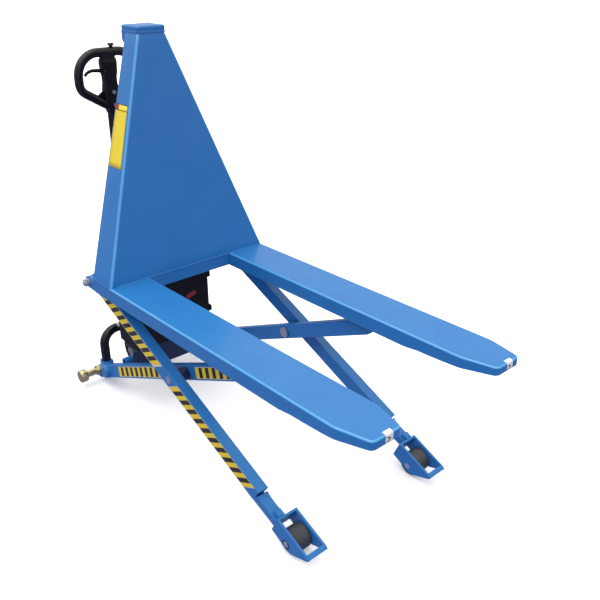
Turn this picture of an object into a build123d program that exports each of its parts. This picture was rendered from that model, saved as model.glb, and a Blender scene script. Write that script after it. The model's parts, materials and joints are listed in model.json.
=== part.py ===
"""Electric high-lift pallet truck: two fork channels raised from a chassis by a pair of scissor frames.

Frame: millimetres, +Z up from the floor, +X forward to the fork tips, +Y to the truck's left. The
origin is on the floor, midway along the truck's length. The forks are modelled part-raised.
"""
from build123d import *
import math
import os

# ---- driving dimensions -------------------------------------------------------------------------------
MAST_X = -354.5            # front face of the mast plate at its foot
FORK_TOP = 585.0           # height of the fork faces in the modelled pose
FORK_LENGTH = 1220.0
FORK_OUTER = 340.0         # half the overall width over both forks
FORK_WIDTH = 160.0
FORK_DEPTH = 52.0
FORK_PLATE = 6.0
TIP_HALF_WIDTH = 57.0
TIP_TAPER = 120.0

BASE_PIVOT = (MAST_X - 312.0, 75.6)      # inner arms on the chassis
CENTRE_PIVOT = (MAST_X + 293.55, 339.0)  # where the two scissor frames cross
HEEL_PIVOT = (MAST_X - 169.1, 558.9)     # outer arms on the fork heels
SLIDER_AXLE = (MAST_X + 753.0, 548.6)    # inner arms' rollers inside the fork channels
ROLLER_AXLE = (MAST_X + 900.0, 41.0)     # load rollers on the floor

INNER_ARM_Y = (211.0, 242.0)
OUTER_ARM_Y = (276.0, 315.0)
ARM_DEPTH = 55.0

LOAD_ROLLER_R = 41.0
SLIDER_ROLLER_R = 30.0
STEER_WHEEL_R = 85.0
STEER_X = MAST_X - 388.0
TILLER_X = MAST_X - 485.0

MAST_HEIGHT = 816.0        # mast plate above the fork faces
MAST_TOP_X = MAST_X - 150.0
MAST_TOP_BACK = MAST_X - 231.0
MAST_TOP_HALF = 55.3
MAST_SHEET = 5.0
CAP_HEIGHT = 24.0

DECK_Z = 200.0
DECK_THICK = 14.0
CYLINDER_X = MAST_X - 205.0

RUNNING = 0.05             # radial clearance of a turning fit

os.makedirs("parts", exist_ok=True)


# ---- small builders -----------------------------------------------------------------------------------
def block(x0, x1, y0, y1, z0, z1):
    """Rectangular block between opposite corners."""
    size = Box(x1 - x0, y1 - y0, z1 - z0)
    return Pos((x0 + x1) / 2, (y0 + y1) / 2, (z0 + z1) / 2) * size


def side_profile(points, y0, y1):
    """Outline in X and Z, given as corner points, made solid from y0 to y1."""
    plane = Plane(origin=(0, y1, 0), x_dir=(1, 0, 0), z_dir=(0, -1, 0))
    return extrude(plane * Polygon(*points, align=None), amount=y1 - y0, dir=(0, -1, 0))


def cross_pin(centre, radius, y0, y1):
    """Round bar across the truck."""
    x, z = centre
    return Pos(x, (y0 + y1) / 2, z) * Rot(90, 0, 0) * Cylinder(radius, y1 - y0)


def upright(x, y, radius, z0, z1):
    """Round bar standing up."""
    return Pos(x, y, (z0 + z1) / 2) * Cylinder(radius, z1 - z0)


def sheet(corners, thickness, direction):
    """Flat plate through the given corners, thickened one way."""
    face = Face(Wire.make_polygon([Vector(*c) for c in corners], close=True))
    return extrude(face, amount=thickness, dir=direction)


def mirrored(shape):
    """The same piece on the truck's other side."""
    return mirror(shape, about=Plane.XZ)


def pair(shape):
    """Both pieces of an identical left and right set, kept as separate solids."""
    return Compound(children=[Part() + shape, Part() + mirrored(shape)])


def save(name, shape):
    export_step(shape, f"parts/{name}.step")


def save_sides(name, left):
    """A handed part: the left one and its mirror image."""
    save(f"{name}_left", left)
    save(f"{name}_right", mirrored(left))


def along(start, end, distance, offset=0.0):
    """Point at a distance along the line from start to end, moved square to it by the offset."""
    length = math.dist(start, end)
    ux, uz = (end[0] - start[0]) / length, (end[1] - start[1]) / length
    return (start[0] + ux * distance - uz * offset, start[1] + uz * distance + ux * offset)


# ---- chassis ------------------------------------------------------------------------------------------
HOOP_X = MAST_X - 420.0
HOOP_Y = 190.0
HOOP_R = 19.0
HOOP_TOP = 202.0
SIDE_TOP = 68.0
SIDE_Y = (195.0, 209.0)
BASE_PIN_R = 15.0
STEER_SHAFT_R = 20.0
HOUSING_R = 34.0
HOUSING_Z = (172.0, 238.0)
BOSS_R = 24.0
BOSS_END = INNER_ARM_Y[1] + 12.0


def yoke_hoop():
    """Bent tube standing over the steered wheels."""
    route = FilletPolyline(
        (HOOP_X, -HOOP_Y, SIDE_TOP), (HOOP_X, -HOOP_Y, HOOP_TOP),
        (HOOP_X, HOOP_Y, HOOP_TOP), (HOOP_X, HOOP_Y, SIDE_TOP), radius=62)
    section = Plane(origin=route @ 0, z_dir=route % 0) * Circle(HOOP_R)
    return sweep(section, path=route) - steering_housing_space()


def steering_housing_space():
    """Outside of the steering housing, which parts the hoop and the deck."""
    return upright(STEER_X, 0, HOUSING_R, *HOUSING_Z)


def side_member():
    """Foot block under a hoop leg with the plate that carries the inner arm's pivot."""
    px, pz = BASE_PIVOT
    foot = block(HOOP_X - 22, HOOP_X + 22, HOOP_Y - 20, SIDE_Y[1], 34, SIDE_TOP)
    plate = side_profile(
        [(HOOP_X, 34), (px + 12, 38), (px + 36, 56), (px + 36, 94), (HOOP_X + 22, SIDE_TOP),
         (HOOP_X, SIDE_TOP)], *SIDE_Y)
    return foot + plate - cross_pin(BASE_PIVOT, BASE_PIN_R, 150, 230)


def base_pivot_pin():
    """Headed pin holding an inner arm to its side member."""
    shank = cross_pin(BASE_PIVOT, BASE_PIN_R, SIDE_Y[0] - 2, BOSS_END + 1)
    return shank + cross_pin(BASE_PIVOT, BOSS_R - 1, BOSS_END + 0.3, BOSS_END + 4.3)


def deck_plate():
    """Shelf welded to the hoop, over the steered wheels and under the power pack."""
    top = DECK_Z + DECK_THICK
    plate = block(CASE_BACK - 12, CASE_FRONT - GUARD_THICK, -DECK_HALF, DECK_HALF, DECK_Z, top)
    plate += block(HOOP_X + 8, CASE_BACK - 12, -NECK_HALF, NECK_HALF, DECK_Z, top)
    return plate - yoke_hoop() - steering_housing_space()


def front_guard():
    """Cross plate welded to the deck's front edge, ahead of the power pack's base."""
    return block(CASE_FRONT - GUARD_THICK, CASE_FRONT, -GUARD_HALF, GUARD_HALF, 122, DECK_Z + DECK_THICK)


def steering_head():
    """Bearing housing round the steering shaft, set into the hoop and the deck."""
    low, high = HOUSING_Z
    return steering_housing_space() - upright(STEER_X, 0, STEER_SHAFT_R + RUNNING, low - 5, high + 5)


CASE_BACK = MAST_X - 300.0
CASE_FRONT = MAST_X - 150.0
CASE_HALF = 176.0
CASE_BASE = DECK_Z + DECK_THICK
CASE_TOP = 500.0
CASE_WALL = 4.0
DECK_HALF = 178.0
NECK_HALF = 55.0
GUARD_THICK = 8.0
GUARD_HALF = 200.0
WELL_HALF = 40.0
WELL_FRONT = CYLINDER_X + 40.0


def battery_case():
    """Open-topped case on the deck, notched from behind for the lift cylinder."""
    outer = block(CASE_BACK, CASE_FRONT, -CASE_HALF, CASE_HALF, CASE_BASE, CASE_TOP)
    outer = fillet(outer.edges().filter_by(Axis.Z), 10)
    inner = block(CASE_BACK + CASE_WALL, CASE_FRONT - CASE_WALL, -CASE_HALF + CASE_WALL,
                  CASE_HALF - CASE_WALL, CASE_BASE + CASE_WALL, CASE_TOP + 5)
    notch_wall = block(CASE_BACK, WELL_FRONT + CASE_WALL, -WELL_HALF - CASE_WALL,
                       WELL_HALF + CASE_WALL, CASE_BASE, CASE_TOP)
    notch = block(CASE_BACK - 5, WELL_FRONT, -WELL_HALF, WELL_HALF, CASE_BASE - 5, CASE_TOP + 5)
    return outer - inner + notch_wall - notch


def case_lid():
    """Lid of the battery case, with the same notch."""
    lid = block(CASE_BACK, CASE_FRONT, -CASE_HALF, CASE_HALF, CASE_TOP, CASE_TOP + 14)
    lid = fillet(lid.edges().filter_by(Axis.Z), 10)
    return lid - block(CASE_BACK - 5, WELL_FRONT, -WELL_HALF, WELL_HALF, CASE_TOP - 5, CASE_TOP + 20)


def case_latches():
    """Two raised catches on each side of the case."""
    upper = block(CASE_FRONT - 48, CASE_FRONT - 22, CASE_HALF, CASE_HALF + 6, 435, 460)
    lower = block(CASE_FRONT - 48, CASE_FRONT - 22, CASE_HALF, CASE_HALF + 6, 280, 305)
    return Compound(children=[upper, mirrored(upper), lower, mirrored(lower)])


def batteries():
    """Two sealed batteries, one each side of the cylinder."""
    cell = block(CASE_BACK + 8, CASE_FRONT - 8, WELL_HALF + 9, CASE_HALF - 8, CASE_BASE + CASE_WALL, 440)
    return pair(cell)


def pump_unit():
    """Upright motor with its pump, standing in the case's notch behind the cylinder."""
    x = CYLINDER_X - 63
    motor = upright(x, 0, 28, CASE_BASE + 60, CASE_BASE + 190)
    return motor + upright(x, 0, 24, CASE_BASE, CASE_BASE + 60)


CYLINDER_R = 30.0
STAGE_R = 23.0
ROD_R = 15.0
BARREL_TOP = 840.0
STAGE_TOP = 1098.0
CAP_UNDERSIDE = FORK_TOP + MAST_HEIGHT - 4.0
ROD_TOP = CAP_UNDERSIDE - 24.0


def cylinder_barrel():
    """Closed-bottomed outer tube of the telescopic lift cylinder."""
    tube = upright(CYLINDER_X, 0, CYLINDER_R, CASE_BASE, BARREL_TOP)
    return tube - upright(CYLINDER_X, 0, STAGE_R + 1.5, CASE_BASE + 12, BARREL_TOP + 5)


def cylinder_gland():
    """Seal nut on top of the barrel."""
    ring = upright(CYLINDER_X, 0, CYLINDER_R + 4, BARREL_TOP, BARREL_TOP + 16)
    return ring - upright(CYLINDER_X, 0, STAGE_R + RUNNING, BARREL_TOP - 5, BARREL_TOP + 20)


def cylinder_stage():
    """Moving middle tube of the lift cylinder, with its own seal collar."""
    tube = upright(CYLINDER_X, 0, STAGE_R, 520, STAGE_TOP)
    bore = upright(CYLINDER_X, 0, ROD_R + 1.5, 532, STAGE_TOP - 20)
    return tube - bore - upright(CYLINDER_X, 0, ROD_R + RUNNING, STAGE_TOP - 25, STAGE_TOP + 5)


def cylinder_rod():
    """Innermost ram, with the round end that lifts the mast cap."""
    rod = upright(CYLINDER_X, 0, ROD_R, 800, ROD_TOP)
    return fillet(rod.edges().group_by(Axis.Z)[-1], 6)


# ---- steering unit ------------------------------------------------------------------------------------
STEER_AXLE_R = 12.0
STEER_AXLE = (STEER_X, STEER_WHEEL_R)
STEER_WHEEL_Y = (30.0, 75.0)
RIM_R = 63.0
RIM_BORE = 52.0
STEER_TOP = HOUSING_Z[1] + 0.5
TILLER_PIVOT = (TILLER_X, 306.0)
TILLER_PIN_R = 10.0


def steer_block():
    """Casting between the twin wheels, with the upright steering shaft."""
    top = HOUSING_Z[0] - 4
    body = block(STEER_X - 32, STEER_X + 32, -26, 26, 55, top)
    body = fillet(body.edges().filter_by(Axis.Y), 14)
    crown = upright(STEER_X, 0, 26, top, top + 3)
    shaft = upright(STEER_X, 0, STEER_SHAFT_R, top, STEER_TOP + 12)
    return body + crown + shaft - cross_pin(STEER_AXLE, STEER_AXLE_R, -60, 60)


def steer_axle():
    """Fixed axle through the block, carrying a wheel at each end."""
    return cross_pin(STEER_AXLE, STEER_AXLE_R, -STEER_WHEEL_Y[1] - 4, STEER_WHEEL_Y[1] + 4)


def axle_nut():
    """Hexagon nut at an axle end."""
    x, z = STEER_AXLE
    y = STEER_WHEEL_Y[1] + 1
    hexagon = Plane(origin=(x, y, z), z_dir=(0, 1, 0)) * RegularPolygon(20, 6)
    return extrude(hexagon, amount=14) - cross_pin(STEER_AXLE, STEER_AXLE_R, y - 5, y + 20)


def steer_tyre():
    """Rubber tread ring of a steered wheel."""
    ring = cross_pin(STEER_AXLE, STEER_WHEEL_R, *STEER_WHEEL_Y)
    ring = chamfer(ring.edges().filter_by(GeomType.CIRCLE), 4)
    return ring - cross_pin(STEER_AXLE, RIM_R, STEER_WHEEL_Y[0] - 5, STEER_WHEEL_Y[1] + 5)


def steer_hub():
    """Wheel centre with a dished web, running on the axle."""
    y0, y1 = STEER_WHEEL_Y
    rim = cross_pin(STEER_AXLE, RIM_R, y0 + 1, y1 - 1) - cross_pin(STEER_AXLE, RIM_BORE, y0 - 5, y1 + 5)
    web = cross_pin(STEER_AXLE, RIM_BORE, y0 + 14, y1 - 14)
    nave = cross_pin(STEER_AXLE, 24, y0 - 2, y1)
    return rim + web + nave - cross_pin(STEER_AXLE, STEER_AXLE_R + RUNNING, y0 - 10, y1 + 10)


def tiller_yoke():
    """Bracket on the steering shaft that reaches back to the tiller's pivot."""
    px, pz = TILLER_PIVOT
    base = block(px - 26, STEER_X, -36, 36, STEER_TOP, STEER_TOP + 12)
    base += upright(STEER_X, 0, 36, STEER_TOP, STEER_TOP + 12)
    base -= upright(STEER_X, 0, STEER_SHAFT_R, STEER_TOP - 5, STEER_TOP + 20)
    low = STEER_TOP + 12
    cheek = side_profile(
        [(px - 26, low), (px + 90, low), (px + 24, pz + 8), (px + 14, pz + 24), (px - 14, pz + 24),
         (px - 26, pz + 10)], 26, 36)
    cheek -= cross_pin(TILLER_PIVOT, TILLER_PIN_R, 10, 50)
    return base + cheek + mirrored(cheek)


def tiller_pivot_pin():
    """Headed pin the tiller tilts on."""
    shank = cross_pin(TILLER_PIVOT, TILLER_PIN_R, -42, 42)
    return shank + cross_pin(TILLER_PIVOT, 15, -46, -36) + cross_pin(TILLER_PIVOT, 15, 36, 46)


# ---- tiller -------------------------------------------------------------------------------------------
HEAD_BASE = FORK_TOP + 500.0
HEAD_TOP = FORK_TOP + 700.0
LOOP_TOP = FORK_TOP + 725.0
LOOP_HALF = 126.0
LOOP_R = 17.0
LEVER_PIVOT = (-22.0, FORK_TOP + 657.0)
LEVER_PIN_R = 3.0
BUTTON_R = 5.0
BUTTON_Y = 20.0


def tiller_tube():
    """Straight tube from the pivot up to the handle head."""
    px, pz = TILLER_PIVOT
    tube = upright(TILLER_X, 0, 21, pz, HEAD_BASE) - upright(TILLER_X, 0, 17.5, pz + 40, HEAD_BASE + 5)
    boss = cross_pin(TILLER_PIVOT, 25, -25, 25)
    return tube + boss - cross_pin(TILLER_PIVOT, TILLER_PIN_R + RUNNING, -40, 40)


def loop_route():
    """Centre line of the closed handle tube."""
    low = HEAD_BASE + 16
    corners = [(0, low), (LOOP_HALF, HEAD_BASE + 92), (LOOP_HALF, LOOP_TOP), (-LOOP_HALF, LOOP_TOP),
               (-LOOP_HALF, HEAD_BASE + 92), (0, low)]
    corners = [(TILLER_X, y, z) for y, z in corners]
    return FilletPolyline(*corners, radius=[45, 45, 85, 85, 45])


def head_shape():
    """Outside of the handle's centre housing."""
    right = [(22, HEAD_BASE), (31, HEAD_BASE + 34), (31, HEAD_BASE + 88), (26, HEAD_BASE + 112),
             (28, HEAD_BASE + 150), (28, HEAD_TOP - 8), (22, HEAD_TOP)]
    outline = right + [(-y, z) for y, z in reversed(right)]
    face = Plane(origin=(TILLER_X - 22, 0, 0), x_dir=(0, 1, 0), z_dir=(1, 0, 0))
    face *= Polygon(*outline, align=None)
    body = extrude(face, amount=44)
    return chamfer(body.edges().group_by(Axis.X)[0] + body.edges().group_by(Axis.X)[-1], 4)


def tiller_loop():
    """Bent handle tube, broken where it passes through the head."""
    route = loop_route()
    section = Plane(origin=route @ 0, z_dir=route % 0) * (Circle(LOOP_R) - Circle(LOOP_R - 3))
    button_hole = upright(TILLER_X, BUTTON_Y, BUTTON_R + 0.4, LOOP_TOP, LOOP_TOP + 30)
    return sweep(section, path=route) - head_shape() - button_hole


def tiller_head():
    """Centre housing between the tube and the handle, with the lever slot on its right side."""
    core = block(TILLER_X - 16, TILLER_X + 16, -22, 22, HEAD_BASE + 60, HEAD_TOP - 75)
    post = upright(TILLER_X, 0, 16, HEAD_TOP, LOOP_TOP - 12)
    body = head_shape() + (post - cross_bar_space()) - core
    py, pz = LEVER_PIVOT
    slot = block(TILLER_X - 8, TILLER_X + 8, -60, py + 12, pz - 26, pz + 26)
    return body - slot - lever_pin()


def cross_bar_space():
    """Space of the handle's top run."""
    return Pos(TILLER_X, 0, LOOP_TOP) * Rot(90, 0, 0) * Cylinder(LOOP_R, 100)


def head_bolts():
    """Two screws clamping the head to the tiller."""
    bolts = []
    for z in (HEAD_BASE + 30, HEAD_BASE + 79):
        head = Plane(origin=(TILLER_X + 22, 0, z), z_dir=(1, 0, 0)) * RegularPolygon(8, 6)
        bolts.append(extrude(head, amount=6))
    return Compound(children=bolts)


def lift_lever():
    """Curved finger lever that raises or lowers the forks."""
    py, pz = LEVER_PIVOT
    route = FilletPolyline((TILLER_X, py, pz), (TILLER_X, -80, pz + 6), (TILLER_X, -100, pz - 12),
                           radius=18)
    section = Plane(origin=route @ 0, z_dir=route % 0) * RectangleRounded(13, 10, 4)
    boss = Pos(TILLER_X, py, pz) * Rot(0, 90, 0) * Cylinder(9, 13)
    bore = Pos(TILLER_X, py, pz) * Rot(0, 90, 0) * Cylinder(LEVER_PIN_R + RUNNING, 40)
    return sweep(section, path=route) + boss - bore


def lever_pin():
    """Cross pin the lever rocks on."""
    py, pz = LEVER_PIVOT
    return Pos(TILLER_X, py, pz) * Rot(0, 90, 0) * Cylinder(LEVER_PIN_R, 42)


def push_button():
    """Round knob on top of the handle."""
    stem = upright(TILLER_X, BUTTON_Y, BUTTON_R, LOOP_TOP + 10, LOOP_TOP + LOOP_R + 6)
    knob = upright(TILLER_X, BUTTON_Y, 9, LOOP_TOP + LOOP_R + 5, LOOP_TOP + LOOP_R + 14)
    return stem + fillet(knob.edges().group_by(Axis.Z)[-1], 4)


# ---- inner scissor frame ------------------------------------------------------------------------------
BUSH_R = 19.0
CENTRE_PIN_R = 14.0
INNER_REAR = MAST_X - 410.0
INNER_LINE = ((MAST_X - 335.0, 67.0), CENTRE_PIVOT)
STABILISER = (MAST_X - 391.0, 50.0)
CROSS_TUBE = (MAST_X - 216.0, 150.0)
CROSS_TUBE_R = 17.0
SLIDER_AXLE_R = 10.0


def inner_arm():
    """Rectangular bar from behind the base pivot to the slider roller."""
    start, middle = INNER_LINE
    slope = math.atan2(middle[1] - start[1], middle[0] - start[0])
    rear = -(start[0] - INNER_REAR) / math.cos(slope)
    front = math.dist(start, SLIDER_AXLE)
    half = ARM_DEPTH / 2
    outline = [
        along(start, middle, rear, half),
        along(start, middle, front - 10, half),
        along(start, middle, front + 22, half - 2),
        along(start, middle, front + 30, 12),
        along(start, middle, front + 20, -8),
        along(start, middle, front - 60, -half),
        along(start, middle, rear + 14, -half),
        along(start, middle, rear, -half + 14),
    ]
    bar = side_profile(outline, *INNER_ARM_Y)
    bar += cross_pin(BASE_PIVOT, BOSS_R, INNER_ARM_Y[0], BOSS_END)
    bar -= cross_pin(BASE_PIVOT, BUSH_R, 200, 270)
    bar -= cross_pin(CENTRE_PIVOT, BUSH_R, 200, 270)
    bar -= cross_pin(SLIDER_AXLE, SLIDER_AXLE_R, 200, 270)
    return bar - cross_pin(STABILISER, 10, 200, 270)


def pivot_bush(centre, bore, y0, y1):
    """Plain bush pressed in an arm."""
    return cross_pin(centre, BUSH_R, y0, y1) - cross_pin(centre, bore + RUNNING, y0 - 5, y1 + 5)


def inner_cross_tube():
    """Round tube joining the two inner arms ahead of the steered wheels."""
    tube = cross_pin(CROSS_TUBE, CROSS_TUBE_R, -INNER_ARM_Y[0], INNER_ARM_Y[0])
    return tube - cross_pin(CROSS_TUBE, CROSS_TUBE_R - 4, -INNER_ARM_Y[0] - 5, INNER_ARM_Y[0] + 5)


def stabiliser_pin():
    """Headed bar sticking out of the arm's rear end, which comes near the floor as the truck lifts."""
    y = INNER_ARM_Y[1]
    stud = cross_pin(STABILISER, 10, INNER_ARM_Y[0], y)
    shank = cross_pin(STABILISER, 14, y, y + 60)
    head = cross_pin(STABILISER, 26, y + 60, y + 89)
    return stud + shank + chamfer(head.edges().filter_by(GeomType.CIRCLE), 2)


def stabiliser_nut():
    """Lock nut at the root of a stabiliser pin."""
    x, z = STABILISER
    y = INNER_ARM_Y[1]
    hexagon = Plane(origin=(x, y, z), z_dir=(0, 1, 0)) * RegularPolygon(24, 6)
    return extrude(hexagon, amount=12) - cross_pin(STABILISER, 14, y - 5, y + 20)


def slider_axle():
    """Stub axle for the roller that runs in the fork channel."""
    shank = cross_pin(SLIDER_AXLE, SLIDER_AXLE_R, INNER_ARM_Y[0], 273)
    return shank + cross_pin(SLIDER_AXLE, 14, 272.6, 275)


def slider_roller():
    """Roller bearing against the underside of the fork's top plate."""
    roller = cross_pin(SLIDER_AXLE, SLIDER_ROLLER_R, 244, 272)
    roller = chamfer(roller.edges().filter_by(GeomType.CIRCLE), 2)
    return roller - cross_pin(SLIDER_AXLE, SLIDER_AXLE_R + RUNNING, 240, 276)


# ---- outer scissor frame ------------------------------------------------------------------------------
HEEL_PIN_R = 12.5
OUTER_LINE = ((MAST_X - 157.0, 541.6), CENTRE_PIVOT)
ARM_END_R = 25.0
ROLLER_AXLE_R = 10.0
ROLLER_Y = (249.0, 309.0)
FRAME_PLATES_Y = ((239.0, 247.0), (311.0, 319.0))


def outer_arm():
    """Rectangular bar from the fork heel to just short of the load roller, ending in a lower neck."""
    start, middle = OUTER_LINE
    half = ARM_DEPTH / 2
    end = math.dist(start, (MAST_X + 765, 130))
    outline = [
        along(start, middle, -10, half),
        along(start, middle, end, half),
        along(start, middle, end + 8, half - 22),
        frame_point(-66, 38),
        frame_point(-66, 2),
        along(start, middle, end - 30, -half),
        along(start, middle, -10, -half),
    ]
    bar = side_profile(outline, *OUTER_ARM_Y)
    bar += cross_pin(HEEL_PIVOT, ARM_END_R, *OUTER_ARM_Y)
    bar -= cross_pin(HEEL_PIVOT, BUSH_R, 260, 330)
    return bar - cross_pin(CENTRE_PIVOT, CENTRE_PIN_R, 260, 330)


def centre_pin():
    """Headed pin where the arms cross, flush with the outer arm."""
    shank = cross_pin(CENTRE_PIVOT, CENTRE_PIN_R, 206, OUTER_ARM_Y[1] + 1)
    return shank + cross_pin(CENTRE_PIVOT, 20, 202, 208)


def centre_spacer():
    """Collar between the inner and outer arm."""
    collar = cross_pin(CENTRE_PIVOT, 24, INNER_ARM_Y[1] + 1, OUTER_ARM_Y[0])
    return collar - cross_pin(CENTRE_PIVOT, CENTRE_PIN_R, 230, 290)


def heel_bush():
    """Bush in the outer arm's top end."""
    return pivot_bush(HEEL_PIVOT, HEEL_PIN_R, *OUTER_ARM_Y)


def frame_point(forward, up):
    """Point in the roller frame: distances ahead of and above the axle, measured along the arm."""
    start, middle = OUTER_LINE
    angle = math.atan2(middle[1] - start[1], middle[0] - start[0])
    c, s = math.cos(angle), math.sin(angle)
    return (ROLLER_AXLE[0] + forward * c - up * s, ROLLER_AXLE[1] + forward * s + up * c)


def roller_frame():
    """Fabricated scoop round the load roller: two cheeks, a rear plate and a front bar."""
    cheek = [frame_point(-66, -13), frame_point(-66, 49), frame_point(80, 49), frame_point(90, 44),
             frame_point(86, 36), frame_point(30, -13), frame_point(12, -19), frame_point(-16, -19)]
    body = Part()
    for y0, y1 in FRAME_PLATES_Y:
        body += side_profile(cheek, y0, y1)
    inner, outer = FRAME_PLATES_Y[0][1], FRAME_PLATES_Y[1][0]
    rear = [frame_point(-66, -3), frame_point(-66, 49), frame_point(-56, 49), frame_point(-56, -3)]
    body += side_profile(rear, inner, outer)
    front = [frame_point(72, 32), frame_point(72, 49), frame_point(80, 49), frame_point(90, 44),
             frame_point(86, 36)]
    body += side_profile(front, inner, outer)
    return body - cross_pin(ROLLER_AXLE, ROLLER_AXLE_R, 230, 330)


def roller_axle():
    """Axle of a load roller, with a thin head on the outside."""
    shank = cross_pin(ROLLER_AXLE, ROLLER_AXLE_R, 237, FRAME_PLATES_Y[1][1])
    return shank + cross_pin(ROLLER_AXLE, 14, FRAME_PLATES_Y[1][1], FRAME_PLATES_Y[1][1] + 4)


def load_roller():
    """Wide tread roller on the floor under a fork tip."""
    roller = cross_pin(ROLLER_AXLE, LOAD_ROLLER_R, *ROLLER_Y)
    roller = chamfer(roller.edges().filter_by(GeomType.CIRCLE), 3)
    return roller - cross_pin(ROLLER_AXLE, ROLLER_AXLE_R + RUNNING, 240, 320)


# ---- fork carriage ------------------------------------------------------------------------------------
FORK_INNER = FORK_OUTER - FORK_WIDTH
FORK_MID = (FORK_OUTER + FORK_INNER) / 2
HEEL_DEPTH = 125.0
LUG_Y = ((262.0, 270.0), (321.0, 340.0))
LUG_END_R = 22.0


def fork_outline(inset):
    """Plan of a fork blade: straight sides, tapering to a rounded tip."""
    half = FORK_WIDTH / 2 - inset
    tip = TIP_HALF_WIDTH - inset
    x0, x1 = MAST_X, MAST_X + FORK_LENGTH - inset
    points = [(x0, FORK_MID - half), (x1 - TIP_TAPER, FORK_MID - half), (x1, FORK_MID - tip),
              (x1, FORK_MID + tip), (x1 - TIP_TAPER, FORK_MID + half), (x0, FORK_MID + half)]
    face = Plane.XY * Polygon(*points, align=None)
    tips = face.vertices().group_by(Axis.X)[-1]
    return fillet(tips, 16 - inset)


def fork():
    """Pressed channel open underneath, its skirts shallower towards the tip."""
    base = FORK_TOP - FORK_DEPTH
    shell = Pos(0, 0, base) * extrude(fork_outline(0), amount=FORK_DEPTH)
    shell = fillet(shell.edges().group_by(Axis.Z)[-1].filter_by(lambda e: e.center().X > MAST_X + 1), 5)
    hollow = Pos(0, 0, base - 1) * extrude(fork_outline(FORK_PLATE), amount=FORK_DEPTH - FORK_PLATE + 1)
    rear = MAST_X + FORK_LENGTH - 300
    under = side_profile(
        [(rear, base - 1), (rear + 16, base + 5), (MAST_X + FORK_LENGTH - 60, base + 14),
         (MAST_X + FORK_LENGTH + 1, base + 24), (MAST_X + FORK_LENGTH + 1, base - 1)],
        FORK_INNER - 5, FORK_OUTER + 5)
    return shell - hollow - under


def heel_frame():
    """Welded heel: crossplate, skirts behind the blades, and the lugs for the scissor pivots."""
    top = FORK_TOP
    base = top - FORK_DEPTH
    frame = block(MAST_X - 8, MAST_X, -FORK_INNER - 1, FORK_INNER + 1, top - 48, top)
    hx, hz = HEEL_PIVOT
    for sign in (1, -1):
        side = block(MAST_X - HEEL_DEPTH, MAST_X, FORK_INNER, FORK_OUTER, top - FORK_PLATE, top)
        side += block(MAST_X - HEEL_DEPTH, MAST_X, FORK_INNER, FORK_INNER + FORK_PLATE, base, top)
        for y0, y1 in LUG_Y:
            lug = side_profile([(MAST_X, base), (MAST_X, top), (hx + 8, top), (hx, hz + LUG_END_R),
                                (hx, hz - LUG_END_R), (MAST_X - 90, base)], y0, y1)
            lug += cross_pin(HEEL_PIVOT, LUG_END_R, y0, y1)
            side += lug - cross_pin(HEEL_PIVOT, HEEL_PIN_R, y0 - 2, y1 + 2)
        frame += side if sign > 0 else mirrored(side)
    return frame


def heel_pin():
    """Pin through a fork heel's lugs, held outside by a washer and a hexagon nut."""
    shank = cross_pin(HEEL_PIVOT, HEEL_PIN_R, 258, FORK_OUTER)
    washer = cross_pin(HEEL_PIVOT, 16, FORK_OUTER, FORK_OUTER + 3)
    x, z = HEEL_PIVOT
    hexagon = Plane(origin=(x, FORK_OUTER + 3, z), z_dir=(0, 1, 0)) * RegularPolygon(15, 6)
    thread = cross_pin(HEEL_PIVOT, 8, FORK_OUTER + 3, FORK_OUTER + 20)
    return shank + washer + extrude(hexagon, amount=13) + thread


def mast_corner(side, top):
    """Front corner of the mast at its foot or its head."""
    if top:
        return (MAST_TOP_X, side * MAST_TOP_HALF, FORK_TOP + MAST_HEIGHT)
    return (MAST_X, side * FORK_OUTER, FORK_TOP)


def mast_front_plate():
    """Leaning tapered plate behind the load."""
    corners = [mast_corner(-1, False), mast_corner(1, False), mast_corner(1, True), mast_corner(-1, True)]
    lean = math.atan2(MAST_X - MAST_TOP_X, MAST_HEIGHT)
    plate = sheet(corners, MAST_SHEET, (-math.cos(lean), 0, -math.sin(lean)))
    return plate - below_forks()


def below_forks():
    """Space under the fork faces, which trims the mast's sheets level."""
    return block(MAST_X - 400, MAST_X + 50, -400, 400, FORK_TOP - 50, FORK_TOP)


def mast_side():
    """Tapered panel closing one side of the mast."""
    top_z = FORK_TOP + MAST_HEIGHT
    corners = [mast_corner(1, False), (MAST_X - HEEL_DEPTH, FORK_OUTER, FORK_TOP),
               (MAST_TOP_BACK, MAST_TOP_HALF, top_z), mast_corner(1, True)]
    slant = math.atan2(FORK_OUTER - MAST_TOP_HALF, MAST_HEIGHT)
    panel = sheet(corners, MAST_SHEET, (0, -math.cos(slant), -math.sin(slant)))
    return panel - mast_front_plate() - below_forks()


def mast_cap():
    """Folded cap over the mast, with a tab down the back and cheeks that guide the ram's end."""
    z0 = FORK_TOP + MAST_HEIGHT
    half = MAST_TOP_HALF + 1.5
    back = MAST_TOP_BACK - 28
    cap = block(back, MAST_TOP_X + 2, -half, half, z0, z0 + CAP_HEIGHT)
    cap = fillet(cap.edges().filter_by(Axis.X).group_by(Axis.Z)[-1], 12)
    tab = block(back, back + 6, -half + 4, half - 4, z0 - 34, z0 + CAP_HEIGHT - 6)
    tab = fillet(tab.edges().filter_by(Axis.X).group_by(Axis.Z)[0], 12)
    plate = block(MAST_TOP_BACK, MAST_TOP_X - 8, -MAST_TOP_HALF + 8, MAST_TOP_HALF - 8, z0 - 4, z0)
    cheek = block(MAST_TOP_BACK + 3, MAST_TOP_X - 12, 24, 30, z0 - 48, z0)
    return cap + tab + plate + cheek + mirrored(cheek)


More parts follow.
